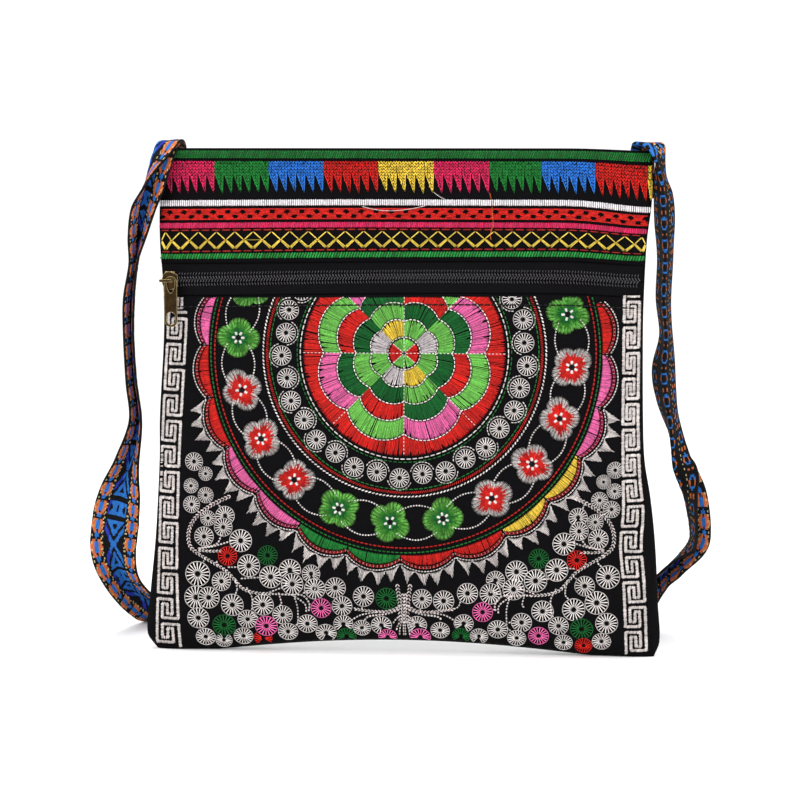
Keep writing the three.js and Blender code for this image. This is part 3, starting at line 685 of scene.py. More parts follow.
def cloth_wall(name, node, side, low, high, outer, inner, across, up, material, slot, flat):
    """One wall of the bag between two heights: a grid that is close at the seams, and the same grid a cloth's
    thickness further in."""
    u = (1 - np.cos(np.pi * np.linspace(0, 1, across))) / 2
    v = np.linspace(low, high, up)[:, None] / HEIGHT
    faces = [wall(side, u[None, :], v, inset)[:, :: -side] for inset in (outer, inner)]
    made = make_piece(name, *shell(*faces), material, slot)
    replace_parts(made, node)
    return made


# A thread stitch in its own frame: share of its length at each section, and height there.
FLAT_STITCH = ((0.16, 1.0), (0.84, 1.0))
PADDED_STITCH = ((0.1, 0.62), (0.5, 1.0), (0.9, 0.62))


def stitches(start, end, colour, width=None, proud=None, lift=0.0, end_width=None, seed=1, vary=1.0):
    """Straight stitches between pattern points, lift off the cloth. Each is lighter or darker by a share of
    vary, partly on its own and partly with a slow drift over five stitches."""
    start, end = (np.asarray(x, float).reshape(-1, 2) for x in np.broadcast_arrays(start, end))
    count = len(start)
    width = sizes().thread / MM if width is None else width
    proud = sizes().proud / MM if proud is None else proud
    drift = np.convolve(loose(count + 4, seed + 900), np.full(5, 0.2), "valid")[:count]
    tone = 1 + vary * (0.46 * loose(count, seed) + 0.54 * drift - 0.5)
    rows = np.broadcast_to(colour, (count, 3)) * tone[:, None]

    def spread(value):
        """A value for each stitch."""
        return np.broadcast_to(np.asarray(value, float), (count,))

    return {"start": start, "end": end, "colour": rows, "width": spread(width), "proud": spread(proud),
            "lift": spread(lift), "end_width": spread(width if end_width is None else end_width)}


def gather(groups):
    """Several groups of stitches as one."""
    return {key: np.concatenate([group[key] for group in groups]) for key in groups[0]}


def chosen(group, keep):
    """Those stitches of a group that a mask keeps."""
    return {key: value[keep] for key, value in group.items()}


def under_zip(group):
    """Stitches cut off below the panel's climbing top edge: one that crosses it ends there, and one above it
    is left out."""
    start, end = group["start"].copy(), group["end"].copy()
    across = (start[:, 0] + end[:, 0]) / 2 + HALF_WIDTH
    top = PANEL_TOP - 0.9 + ZIP_RISE * across / (2 * HALF_WIDTH)
    for near, far in ((start, end), (end, start)):
        over = (near[:, 1] > top) & (far[:, 1] < top)
        share = ((top - far[:, 1]) / np.where(over, near[:, 1] - far[:, 1], 1))[:, None]
        near[over] = (far + (near - far) * share)[over]
    keep = (np.maximum(start[:, 1], end[:, 1]) <= top + 1e-6) & (np.linalg.norm(end - start, axis=1) > 0.25)
    return chosen(dict(group, start=start, end=end), keep)


def above_foot(group):
    """Stitches that keep clear of the bottom seam and of the two side seams."""
    keep = np.ones(len(group["start"]), bool)
    for end in (group["start"], group["end"]):
        left, right = outline(end[:, 1])
        u = (end[:, 0] - left) / (right - left)
        keep &= (end[:, 1] > wall_arch(u) + 1.2) & (end[:, 1] > 1.5) & (u > 0.004) & (u < 0.996)
    return chosen(group, keep)


def outward(place, middle, reach=0.6):
    """The way that a surface looks at pattern points, to the front: across its slopes to the right and up."""
    east = place(middle + (reach, 0)) - place(middle - (reach, 0))
    north = place(middle + (0, reach)) - place(middle - (0, reach))
    out = unit_length(np.cross(east, north))
    return out * -np.sign(out[:, 1:2])


def stitch_faces(count):
    """Triangles of one stitch of a number of sections. Points 0 and 1 are its tips, and 2, 3 and 4 are the
    first section's left, right and top, seen from outside with the stitch running ahead."""
    faces = [(0, 4, 2), (0, 3, 4), (0, 2, 3)]
    for k in range(count - 1):
        a, b = 2 + 3 * k, 5 + 3 * k
        faces += [(a, a + 2, b + 2), (a, b + 2, b), (a + 1, b + 1, b + 2), (a + 1, b + 2, a + 2),
                  (a, b, b + 1), (a, b + 1, a + 1)]
    last = 3 * count - 1
    return np.array(faces + [(1, last, last + 2), (1, last + 2, last + 1), (1, last + 1, last)])


def sew(name, group, place, slot, sections=FLAT_STITCH, material=None):
    """Stitches as thin closed solids on a surface: two tips in the cloth, and between them sections of a left
    point, a right point and a raised middle, all whole arrays over the stitches."""
    start, end = group["start"], group["end"]
    way = end - start
    length = np.linalg.norm(way, axis=1, keepdims=True)
    aside = left_of(way) / np.maximum(length, 1e-6)
    out = outward(place, (start + end) / 2)
    base = out * group["lift"][:, None]
    corners = [place(tip) + base - 0.05 * out for tip in (start, end)]
    for share, rise in sections:
        half = (group["width"] * (1 - share) + group["end_width"] * share)[:, None] / 2
        p = start + way * share
        corners += [place(p + aside * half) + base - 0.04 * out, place(p - aside * half) + base - 0.04 * out,
                    place(p) + base + out * group["proud"][:, None] * rise]
    points = np.stack(corners, 1)
    count, each = points.shape[:2]
    index = np.arange(count)[:, None, None] * each + stitch_faces(len(sections))[None]
    return make_piece(name, points.reshape(-1, 3), index.reshape(-1, 3),
                      material or kept_material("embroidery thread", embroidery_thread), slot,
                      np.repeat(group["colour"], each, 0))


def dashes(path, step, gap, colour, width=0.6, proud=0.35, lift=0.25, seed=2):
    """Running stitch along a path: one stitch for each step, less the gap."""
    at = np.arange(0, max(path_length(path) - step * 0.5, step), step)
    ends = at + step - gap
    return stitches(walk(path, at)[0], walk(path, ends)[0], colour, width=width, proud=proud, lift=lift,
                    seed=seed)


def satin(path, across, colour, pitch=None, slant=0.0, width=None, proud=None, lift=0.0, ragged=0.06, seed=3,
          vary=1.0):
    """Satin stitch along a path: stitches from side to side at each pitch, with slightly ragged ends."""
    pitch = pitch or sizes().pitch / MM
    at = np.arange(0, path_length(path), pitch)
    place, way = walk(path, at)
    aside = left_of(way) * across / 2
    lean = way * slant / 2
    rough = [1 + ragged * (2 * loose(len(at), seed + k) - 1)[:, None] for k in (0, 1)]
    return stitches(place - aside * rough[0] - lean, place + aside * rough[1] + lean, colour,
                    width=width or pitch * 1.22, proud=proud, lift=lift, seed=seed, vary=vary)


def polar(radius, angle):
    """A medallion point from its radius and angle, all but the inner petals a little longer downwards."""
    radius, angle = np.broadcast_arrays(np.asarray(radius, float), np.asarray(angle, float))
    low = np.clip(-np.sin(angle), 0, 1) ** 2
    rings, rim = 0.016 * low * smooth_step(radius, 30, 52), 0.014 * low * smooth_step(radius, 92, 106)
    radius = radius * (1 + rings + rim)
    return MEDALLION + radius[..., None] * ray(angle)


def radial(inner, outer, angle, colour, seed, worn=0.1, proud=None, lift=0.0):
    """Radial satin between two curves of radius over the angle. The stitches are a little uneven, a few are
    left out, a few stop short of the rim, and thin flecks of painted shade lie between, mostly near the rim."""
    count = len(angle)
    short = loose(count, seed + 50) < worn
    reach = np.where(short, 0.68 + 0.24 * loose(count, seed + 51), 0.98 + 0.04 * loose(count, seed + 52))
    spacing = np.clip(np.gradient(angle), 0, 0.1)
    turned = angle + spacing * 0.55 * (loose(count, seed + 53) - 0.5)
    sewn = loose(count, seed + 54) > 0.045
    rim = inner + (outer - inner) * reach
    near, far = np.clip(spacing * inner, 0.16, 0.9) * 1.06, np.clip(spacing * rim, 0.2, 0.9)
    rows = stitches(polar(inner, turned)[sewn], polar(rim, turned)[sewn], colour, width=near[sewn],
                    proud=proud, lift=lift, end_width=far[sewn], seed=seed)
    # Painted shade: flecks of the thread at three tenths of its brightness over the gaps between stitches.
    start = np.sqrt(loose(count, seed + 55)) * 0.8
    shade_fleck_mask = (loose(count, seed + 56) < 0.5) & (worn > 0)
    end = np.minimum(start + 0.12 + 0.2 * loose(count, seed + 57), 1)
    ends = [polar(inner + (outer - inner) * share, angle + spacing / 2)[shade_fleck_mask] for share in (start, end)]
    flecks = stitches(*ends, np.asarray(colour) * 0.3, width=0.24, proud=0.12, lift=lift + 0.38,
                      seed=seed + 58)
    return gather([rows, flecks])


def ring_path(radius, start=0.0, end=2 * math.pi):
    """A circle or arc of the medallion as a path of points."""
    angle = np.linspace(start, end, 600)
    return polar(np.broadcast_to(radius, angle.shape) if np.ndim(radius) == 0 else radius, angle)


def petal_edge(ring, angle):
    """Radius of a petal ring's scalloped rim: from the cusp at each eighth turn out to the middle between."""
    cusp, middle = PETAL_RINGS[ring]
    return cusp + (middle - cusp) * np.abs(np.sin(4 * angle)) ** 0.7


def medallion_petals():
    """The flower of the medallion: a bow tie disc, four rings of petals by eighths, and the red ground."""
    groups = []
    pitch = sizes().pitch / MM
    disc = np.arange(0, 2 * math.pi, 0.075)
    side = np.abs(np.sin(disc)) < math.sin(math.radians(BOW_TIE))
    for kind, name in ((side, "red"), (~side, "leaf")):
        inner, outer = (np.full(kind.sum(), radius) for radius in (0.7, DISC - 0.4))
        groups.append(radial(inner, outer, disc[kind], dye(name), seed=5, worn=0.0))
    for ring, (cusp, _) in enumerate(PETAL_RINGS):
        steps = int(math.pi / 4 * (cusp - 3.5) / pitch)
        for eighth in range(8):
            angle = (eighth + (np.arange(steps) + 0.5) / steps) * math.pi / 4
            inner = np.full(steps, DISC) if ring == 0 else petal_edge(ring - 1, angle)
            thread = dye(PETAL_THREADS[eighth][ring])
            outer = petal_edge(ring, angle)
            groups.append(radial(inner - 0.3, outer + 0.3, angle, thread, seed=10 * ring + eighth,
                                 worn=0.13))
    steps = int(2 * math.pi * PETAL_RINGS[-1][1] / pitch)
    angle = (np.arange(steps) + 0.5) / steps * 2 * math.pi
    groups.append(radial(petal_edge(3, angle) - 0.3, np.full(steps, GROUND), angle, dye("red"), seed=90,
                         worn=0.16))
    return groups


def medallion_outlines():
    """Dashed white outlines of the petal rims, the disc and the lines between the eighths."""
    white = dye("white")
    full = np.linspace(0, 2 * math.pi, 900)
    groups = [dashes(polar(petal_edge(ring, full), full), step=2.1, gap=0.4, colour=white * 1.25, width=0.55,
                     seed=20 + ring)
              for ring in range(4)]
    groups.append(dashes(ring_path(DISC), step=1.9, gap=0.4, colour=white * 1.2, width=0.5, seed=26))
    for eighth in range(8):
        line = polar(np.linspace(30.0 if eighth % 2 else 1.0, GROUND, 50), eighth * math.pi / 4)
        groups.append(dashes(line, step=1.95, gap=0.7, colour=white * 1.2, width=0.5, seed=30 + eighth))
    for angle in np.radians([BOW_TIE, 180 - BOW_TIE, 180 + BOW_TIE, 360 - BOW_TIE]):
        groups.append(dashes(polar(np.linspace(0.4, DISC, 30), angle), step=1.5, gap=0.3, colour=white,
                             width=0.5, seed=40))
    return groups


def wheels(centres, radii, threads, turn, seed, squat=1.0):
    """Thread wheels: radial stitches that crowd into a pale middle round a bare hub, and from each stitch to
    the next a short one along the rim, for all wheels at once. A stitch under a later wheel is left out."""
    spokes = sizes().spokes
    angle = turn[:, None] + np.arange(spokes) / spokes * 2 * math.pi
    size = radii[:, None, None] * np.stack(np.broadcast_arrays(1.0, squat), -1).reshape(-1, 1, 2)

    def at(share, ahead=0.0):
        """Points of every wheel at a share of its radius, turned ahead by a share of the step."""
        return centres[:, None] + ray(angle + ahead * 2 * math.pi / spokes) * size * share

    colour = np.repeat(threads, spokes, 0)
    step = np.repeat(radii, spokes) * 2 * math.pi / spokes
    spoke = stitches(at(0.17), at(0.97), colour * 1.35, width=step * 0.2, proud=0.4, lift=0.0,
                     end_width=step * 0.27, seed=seed, vary=0.6)
    rim = stitches(at(0.95, -0.05), at(0.95, 1.05), colour, width=step * 0.16, proud=0.3, lift=0.02,
                   seed=seed + 1)
    groups = []
    owner = np.repeat(np.arange(len(centres)), spokes)
    for group in (spoke, rim):
        middle = (group["start"] + group["end"]) / 2
        inside = np.linalg.norm(middle[:, None] - centres[None], axis=-1) < radii[None] * 0.98
        keep = ~(inside & (np.arange(len(centres))[None] > owner[:, None])).any(1)
        groups.append(chosen(group, keep))
    return groups


def medallion_rings():
    """Rings round the flower: dashes, wheels nearer and further by turns with a wavy white outline that
    passes outside one and inside the next, a red satin line and a ring of white beads."""
    white, green = dye("white"), dye("green")
    count = np.arange(WHEEL_COUNT)
    turn = np.radians(WHEEL_FIRST + WHEEL_STEP * count)
    centres = polar(np.array(WHEEL_RINGS)[count % 2], turn)
    radii = np.full(WHEEL_COUNT, WHEEL_RADIUS)
    groups = [
        dashes(ring_path(WHITE_DASHES), step=3.2, gap=0.45, colour=white, width=0.62, seed=41),
        dashes(ring_path(INNER_GREEN), step=2.6, gap=0.5, colour=green * 0.6, width=0.55, seed=42),
        dashes(ring_path(OUTER_GREEN), step=2.6, gap=0.4, colour=green * 0.7, width=0.55, seed=43),
        satin(ring_path(RED_SATIN), across=1.5, colour=dye("red") * 0.7, pitch=1.15, slant=1.1, width=0.6,
              seed=44, vary=1.3),
        satin(ring_path(WHITE_BEADS), across=0.7, colour=white * 1.15, pitch=1.9, slant=1.5, width=0.78,
              proud=0.6, seed=46),
        *wheels(centres, radii, np.broadcast_to(white, (WHEEL_COUNT, 3)), turn, seed=47),
    ]
    arc = np.linspace(-1.35, 1.35, 40)
    for k in count:
        facing = turn[k] + (1 - k % 2) * math.pi
        path = centres[k] + (WHEEL_RADIUS + 1.0) * ray(facing + arc)
        groups.append(dashes(path, step=1.7, gap=0.25, colour=white, width=0.55, lift=0.0, seed=60 + k))
    return groups


def around(count, start=0.0):
    """Even angles of a full turn, and the ways that they point."""
    angle = np.arange(count) / count * 2 * math.pi + start
    return angle, ray(angle)


def blossom(middle, layers, k):
    """One blossom: four round petals of radial stitches, their tones reaching into each other in spikes, thin
    strokes of painted shade at the rim, white knots round a dark hub. A layer has a reach, spikes and a
    colour."""
    steps = 96
    turn, way = around(steps)
    uneven = 1 + 0.05 * np.sin(2 * turn + 1.7 * k) + 0.02 * (loose(steps, 71 + k) - 0.5)
    petals = 0.75 + 0.31 * np.abs(np.cos(2 * (turn - 0.55 * k + 0.65))) ** 0.55
    edge = BLOSSOM_RADIUS * uneven * petals
    groups = []
    for layer, (reach, spike, tone) in enumerate(layers):
        tip = edge * (reach + spike * (loose(steps, 74 + 20 * layer + k) - 0.5))
        groups.append(stitches(middle + way * 1.2, middle + way * tip[:, None], tone, width=0.3, proud=0.42,
                               lift=0.09 * layer, end_width=0.1 + 0.44 * reach, seed=80 + 20 * layer + k,
                               vary=1.2))
    # Painted shade: strokes of the petal's thread at about a fifth of its brightness, over every third
    # stitch.
    rim = (way * edge[:, None])[k % 3 :: 3]
    under = (way * edge[:, None] * 0.62)[k % 3 :: 3]
    groups.append(stitches(middle + under, middle + rim, layers[0][2] * 0.22, width=0.14, proud=0.2,
                           lift=0.42, end_width=0.26, seed=130 + k))
    _, spot = around(5 + k % 2, k)
    groups.append(stitches(middle + 1.4 * spot, middle + 3.5 * spot, dye("white"), width=1.6, proud=0.9,
                           lift=0.4, seed=140 + k, vary=0.4))
    groups.append(stitches(middle + 0.3 * spot, middle + 1.6 * spot, dye("cloth"), width=1.0, proud=0.3,
                           lift=0.4, seed=141 + k))
    return groups


def blossoms():
    """The ring of green and red blossoms, with dotted white arcs from each blossom to the next."""
    groups = []
    white, leaf, forest = dye("white"), dye("leaf"), dye("forest")
    angles = np.radians(BLOSSOM_FIRST + BLOSSOM_STEP * np.arange(len(BLOSSOM_THREADS)))
    layers = {"G": ((1.0, 0.0, leaf), (0.74, 0.26, leaf * (0.32, 0.5, 0.3)),
                    (0.5, 0.24, forest * (1.1, 1.1, 1.0))),
              "R": ((1.0, 0.0, white * 0.98), (0.74, 0.36, dye("red")))}
    span = np.linspace(0.12, 0.88, 60)
    for k, (kind, at) in enumerate(zip(BLOSSOM_THREADS, angles)):
        groups += blossom(polar(BLOSSOM_RING, at), layers[kind], k)
        if k + 1 < len(angles):
            for bow in (-1, 1):
                arc = polar(BLOSSOM_RING + bow * (3.6 + 5.2 * np.sin(math.pi * span)),
                            at + np.radians(BLOSSOM_STEP) * span)
                groups.append(dashes(arc, step=1.5, gap=0.42, colour=white, width=0.85, proud=0.55, lift=0.0,
                                     seed=150 + k))
    return groups


def scallop_edge(angle):
    """Radius of the scalloped outer rim: cusps between the scallops and a bow over each of them."""
    share = (np.degrees(angle) - SCALLOP_FIRST) / SCALLOP_STEP % 1
    return SCALLOP_CUSP + (SCALLOP_OUT - SCALLOP_CUSP) * np.sin(math.pi * share) ** 0.75


def scallops():
    """The outer rim: dashed rings, scallops of radial satin, a red ladder, a white outline and white rays."""
    white = dye("white")
    reach = np.radians((SCALLOP_FIRST - 4, SCALLOP_FIRST + SCALLOP_STEP * len(SCALLOP_THREADS) + 4))
    groups = [dashes(ring_path(RIM_RED, *reach), step=2.3, gap=0.34, colour=dye("red") * 0.6, width=0.78,
                     seed=160),
              dashes(ring_path(RIM_GREEN, *reach), step=2.3, gap=0.34, colour=dye("green") * 0.55,
                     width=0.72, seed=161)]
    for k, name in enumerate(SCALLOP_THREADS):
        low, high = np.radians(SCALLOP_FIRST + SCALLOP_STEP * (k + np.array([0.02, 0.98])))
        angle = np.linspace(low, high, int((high - low) * 104 / (sizes().pitch / MM)))
        rim = scallop_edge(angle)
        inner = np.full(len(angle), SCALLOP_IN)
        groups.append(radial(inner, rim - SATIN_END, angle, dye(name), seed=170 + k, worn=0.04))
        tint = dye("crimson") if name == "pink" else dye("red")
        for row, (side, tone) in enumerate(zip(LADDER_SIDES, (0.6, 0.85))):
            groups.append(dashes(polar(rim - side, angle), step=2.4, gap=0.08, colour=tint * tone,
                                 width=0.45, lift=0.0, seed=190 + row + k))
        rung = np.linspace(low, high, int((high - low) * 104 / RUNG_STEP))
        ends = [polar(scallop_edge(rung) - end, rung) for end in LADDER_RUNGS]
        groups.append(stitches(ends[0], ends[1], white * (0.8, 0.6, 0.62), width=0.36, proud=0.4, lift=0.12,
                               seed=200 + k))
        groups.append(dashes(polar(rim + 0.1, angle), step=1.6, gap=0.25, colour=white * 0.9, width=0.7,
                             lift=0.0, seed=210 + k))
    return [*groups, scallop_rays()]


def scallop_rays():
    """White rays outside the scallops: fans of stitches that are tallest in the middle."""
    count = np.arange(RAYS * RAYS_FROM, RAYS * (len(SCALLOP_THREADS) - RAYS_FROM))
    turn = np.radians(SCALLOP_FIRST + SCALLOP_STEP * (count + 0.5) / RAYS)[:, None]
    fan = np.linspace(-0.5, 0.5, 11)
    wide = np.radians(SCALLOP_STEP / RAYS)
    skew = 0.012 * (loose(len(turn), 231)[:, None] - 0.5)
    ragged = 0.85 + 0.3 * loose(turn.size * fan.size, 232).reshape(len(turn), -1)
    foot = scallop_edge(turn + fan * wide)
    base = polar(foot + 0.9, turn + fan * wide)
    tip = polar(foot + 1.4 + RAY_TALL * (1 - np.abs(2 * fan)) * ragged, turn + fan * wide * 0.8 + skew)
    return stitches(base, tip, dye("white") * (0.84, 0.82, 0.82), width=0.66, proud=0.45, lift=0.0,
                    end_width=0.5, seed=230, vary=1.3)


def corner_garden():
    """The lower corners: thread wheels, flatter towards the bottom edge, stems, and a twig from each wheel to
    the nearest stem. The left half leans out and down a little."""
    lean = np.array([0.012, 0.02])
    centres = np.array([row[:2] for row in CORNER_WHEELS])
    centres = centres + np.minimum(centres[:, :1], 0) * lean
    radii = np.array([row[2] for row in CORNER_WHEELS]) * 1.05
    threads = np.array([dye(row[3]) for row in CORNER_WHEELS])
    squat = 0.92 + 0.08 * smooth_step(centres[:, 1], 8, 30)
    groups = wheels(centres, radii, threads, loose(len(centres), 240) * 6, seed=241, squat=squat)
    drawn = [(wide, smooth_path(points)) for wide, points in CORNER_STEMS]
    stems = [(wide, stem + np.minimum(stem[:, :1], 0) * lean) for wide, stem in drawn]
    stems += [(wide, (2 * MEDALLION[0], 0) + stem * (-0.97, 1)) for wide, stem in drawn]
    for k, (wide, stem) in enumerate(stems):
        groups += corner_stem(wide, stem, k)
    return groups + corner_twigs(centres, radii, np.concatenate([stem for _, stem in stems]))


def corner_stem(wide, stem, k):
    """A stem: two twisted rows of slanted satin side by side, or one row of dashes where it is thin."""
    tint = dye("white") * ((0.8, 0.78, 0.78) if k % 3 else (0.9, 0.82, 0.84))
    if wide < THICK_STEM:
        return [dashes(stem, step=1.7, gap=0.42, colour=tint * 1.1, width=wide * 0.95, proud=0.5, lift=0.0,
                       seed=250 + k)]
    _, way = walk(stem, np.linspace(0, path_length(stem), len(stem)))
    groups = []
    for side in (-1, 1):
        row = stem + side * wide / 4 * left_of(way)
        groups.append(satin(row, across=wide * 0.42, colour=tint * 1.22, pitch=1.85, slant=1.6 * side,
                            width=0.6, proud=0.65, seed=250 + 2 * k + (side > 0), vary=1.5))
    return groups


def corner_twigs(centres, radii, stems):
    """Bowed twigs of dashes from the rims of the wheels to the nearest points of the stems, where those are
    neither touching nor far."""
    groups = []
    nearest = stems[np.linalg.norm(centres[:, None] - stems[None], axis=-1).argmin(1)]
    for k, (middle, radius, root) in enumerate(zip(centres, radii, nearest)):
        gap = np.linalg.norm(root - middle) - radius
        if 0.8 < gap < 6:
            way = (root - middle) / (gap + radius)
            bow = np.array([-way[1], way[0]]) * gap * 0.2
            twig = smooth_path([middle + way * radius, middle + way * (radius + gap * 0.5) + bow, root], 0.3)
            groups.append(dashes(twig, step=1.6, gap=0.35, colour=dye("white") * 0.9, width=0.75, proud=0.45,
                                 lift=0.0, seed=320 + k))
    return groups


def key_border(line, step, top, seed):
    """A Greek key border in white satin: one unbroken path down through square spirals, each the upside down
    image of the one before, carried on a middle line of changing place and width."""
    unit = np.array(KEY_UNIT)
    turns = [unit[::-1] if k % 2 == 0 else unit * (1, -1) + (0, 1) for k in range(int(top / step) + 1)]
    path = np.concatenate([turn * (1, KEY_TALL) + (0, top - KEY_TALL - k * step)
                           for k, turn in enumerate(turns)])
    keys, middle, half = (np.array(column) for column in zip(*line))
    thread = dye("white") * (1, 0.97, 0.97)
    groups = []
    for k, (a, b) in enumerate(zip(path[:-1], path[1:])):
        upright = abs(b[0] - a[0]) < 0.1
        steps = max(int(np.linalg.norm((b - a) * (KEY_WIDE, 1)) / KEY_PITCH), 2)
        run = np.linspace(a, b, steps)
        wide = along(keys, half, run[:, 1]) - KEY_LINE / 2
        place = np.column_stack([along(keys, middle, run[:, 1]) + (run[:, 0] * 2 - 1) * wide, run[:, 1]])
        aside = np.array([KEY_LINE / 2, 0.15] if upright else [0.15, KEY_LINE / 2])
        rough = 0.96 + 0.2 * (2 * loose(steps, seed + k)[:, None] - 1)
        groups.append(stitches(place - aside * rough, place + aside * rough[::-1], thread, width=0.6,
                               proud=0.5, seed=seed + k))
    return under_zip(above_foot(gather(groups)))


def level_points(x, height):
    """Pattern points at places across and one height."""
    return np.column_stack([x, np.full_like(x, height)])


def band_rows(at, margin=1.0):
    """A level path along the upper band at a height, from one side seam to the other."""
    left, right = outline(at)
    return level_points(np.linspace(float(left) + margin, float(right) - margin, 500), at)


def saw_edge(x, left, step, depth):
    """Height of a block's saw edge: down to a tip near the end of each tooth, and steeply up again."""
    tooth = np.clip(np.floor((x - left) / step).astype(int), 0, len(depth) - 1)
    share = (x - left) / step - tooth
    down, up = TOOTH_SLOPES
    return TEETH_ROOT - (TEETH_ROOT - depth[tooth]) * np.minimum(share / down, (1 - share) / up)


def pointed_teeth():
    """Blocks of saw teeth, steep at the right: rows of small V stitches kept inside the saw's outline, a
    thread along both slopes of each tooth, and a dark layer of painted shade below, as dots between them."""
    groups = []
    for k, name in enumerate(BLOCK_THREADS):
        left, right = BLOCK_EDGES[k : k + 2]
        teeth = max(round((right - left) / TOOTH_STEP), 1)
        step = (right - left) / teeth
        depth = TEETH_TIP - 1.4 * loose(teeth, 330 + k)
        cells = max(round((right - left) / V_WIDE), 1)
        x, z = np.meshgrid(left + (np.arange(cells) + 0.5) * (right - left) / cells,
                           np.arange(TEETH_TOP - V_TALL, TEETH_TIP, -V_TALL))
        low = np.column_stack([x.ravel(), z.ravel()])
        low += 0.4 * (np.stack([loose(len(low), 300 + k), loose(len(low), 311 + k)], -1) - 0.5)
        for side in (-1, 1):
            high = np.minimum(low + (side * 0.7, V_TALL), (right, TEETH_TOP))
            inside = (low + high)[:, 1] / 2 > saw_edge((low + high)[:, 0] / 2, left, step, depth)
            groups.append(stitches(low[inside], high[inside], dye(name) * 1.2, width=0.5, proud=0.6,
                                   lift=0.16, seed=310 + 2 * k + (side > 0), vary=1.2))
        root = left + step * np.arange(teeth)
        tip = np.column_stack([root + TOOTH_SLOPES[0] * step, depth])
        for start in (root + 0.1, root + step - 0.1):
            top = level_points(start, TEETH_ROOT + 0.5)
            groups.append(stitches(top, tip, dye(name), width=0.5, proud=0.5, lift=0.12, end_width=0.3,
                                   seed=340 + k))
        # Painted shade: the ground layer is the block's thread at a fifth of its brightness.
        upright = np.arange(left + 0.25, right, 0.5)
        ground = np.column_stack([upright, saw_edge(upright, left, step, depth) + 0.4])
        groups.append(stitches(ground, level_points(upright, TEETH_TOP), dye(name) * 0.2, width=0.6,
                               proud=0.15, seed=350 + k))
    return groups


def yellow_lattice():
    """A row of diamonds in yellow: strokes of two strands over the middle and of three strands below it, a
    small level stitch where they cross, one stray level thread, and a narrower diamond at each side seam."""
    yellow = dye("yellow")
    cross = np.arange(*LATTICE_ENDS, LATTICE_STEP)
    middle = np.concatenate([[cross[0] - 3.4], (cross[:-1] + cross[1:]) / 2, [cross[-1] + 4.0]])
    ends = np.concatenate([[cross[0] - 5.7], cross, [cross[-1] + 5.8]])
    groups = []
    for side, corner in ((-1, ends[:-1]), (1, ends[1:])):
        node = level_points(corner, LATTICE_MIDDLE)
        for rise, shifts, tint in ((LATTICE_REACH, (-0.12, 0.12), (1.0, 1.04, 1.5)),
                                   (-LATTICE_REACH - 0.2, (-0.55, 0.0, 0.55), (1.0, 1.04, 1.4))):
            peak = level_points(middle, LATTICE_MIDDLE + rise)
            for k, shift in enumerate(shifts):
                aside = shift * 0.7 * np.array([1, side * np.sign(rise)])
                groups.append(stitches(node + aside * 0.7, peak + aside, yellow * tint, width=0.44,
                                       proud=0.5, lift=0.05 * k, seed=330 + 4 * k + side))
    node = level_points(cross, LATTICE_MIDDLE)
    groups.append(stitches(node - (0.8, 0), node + (0.8, 0), yellow * 0.8, width=0.7, proud=0.5, lift=0.35,
                           seed=340))
    groups.append(stitches(node[4:5], node[5:6], yellow * 0.7, width=0.35, proud=0.4, lift=0.1, seed=341))
    return gather(groups)


def red_braid():
    """A flat red braid: nine strands of short slanted stitches, parted by two staggered rows of holes."""
    middle, wide = RED_BRAID
    hole_step, hole_half = BRAID_HOLES
    rows = np.linspace(-0.5, 0.5, BRAID_STRANDS) * (wide - 0.8)
    across, row = np.meshgrid(np.arange(*BRAID_ENDS, BRAID_STEP), rows)
    place = np.column_stack([across.ravel(), row.ravel()])
    keep = np.ones(len(place), bool)
    for level, shift in ((1.15, 1.6), (-1.2, 1.6 + hole_step / 2)):
        near = (place[:, 0] - shift + hole_step / 2) % hole_step - hole_step / 2
        keep &= (near / hole_half[0]) ** 2 + ((place[:, 1] - level) / hole_half[1]) ** 2 > 1
    place = place[keep]
    slant = np.where(np.round(place[:, 1] / 0.7) % 2 == 0, 1, -1) * 0.22
    half = np.column_stack([np.full(len(place), 0.72), slant])
    place = place + (0, middle)
    return stitches(place - half, place + half, dye("red") * 0.95, width=0.62, proud=0.75, lift=0.15,
                    seed=350, vary=1.4)


class BAG_OT_walls(bpy.types.Operator):
    """Sew the cloth walls: front panel, back panel, upper band and the two zip tapes"""

    bl_idname = "bag.walls"
    bl_label = "Cloth walls"

    def execute(self, context):
        cotton = kept_material("black cotton", black_cotton)
        tape = kept_material("woven zip tape", woven_tape)
        for name, node, side, (low, high), outer, grid, material, slot, flat in (
            ("back_cloth", "back_panel", 1, (0, HEIGHT), 0, (120, 110), cotton,
             "black_cotton", (0.272, 0.28)),
            ("front_cloth", "front_panel", -1, (0, PANEL_TOP - 0.2), 0, (130, 90), cotton,
             "embroidered_cotton", (0.272, 0.2)),
            ("band_cloth", "upper_band", -1, (BAND_BOTTOM + 0.2, HEIGHT), 0, (130, 32), cotton,
             "embroidered_cotton", (0.266, 0.062)),
            ("lower_tape", "zip_tape_lower", -1, (PANEL_TOP, ZIP_MIDDLE - 0.2), TAPE_RECESS, (110, 8), tape,
             "zip_tape", (0.262, 0.0105)),
            ("upper_tape", "zip_tape_upper", -1, (ZIP_MIDDLE + 0.2, BAND_BOTTOM), TAPE_RECESS, (110, 8), tape,
             "zip_tape", (0.262, 0.0105)),
        ):
            cloth_wall(name, node, side, low, high, outer, WALL, *grid, material, slot, flat)
        return {"FINISHED"}


class BAG_OT_medallion(bpy.types.Operator):
    """Embroider the round medallion: flower, rings of wheels and blossoms, scalloped rim and rays"""

    bl_idname = "bag.medallion"
    bl_label = "Medallion"

    def execute(self, context):
        for name, groups in (
            ("medallion_flower", medallion_petals()),
            ("medallion_outlines", medallion_outlines()),
            ("medallion_rings", medallion_rings()),
            ("blossoms", blossoms()),
            ("scallops", scallops()),
        ):
            sew(name, under_zip(gather(groups)), front_place, "embroidered_cotton")
        return {"FINISHED"}


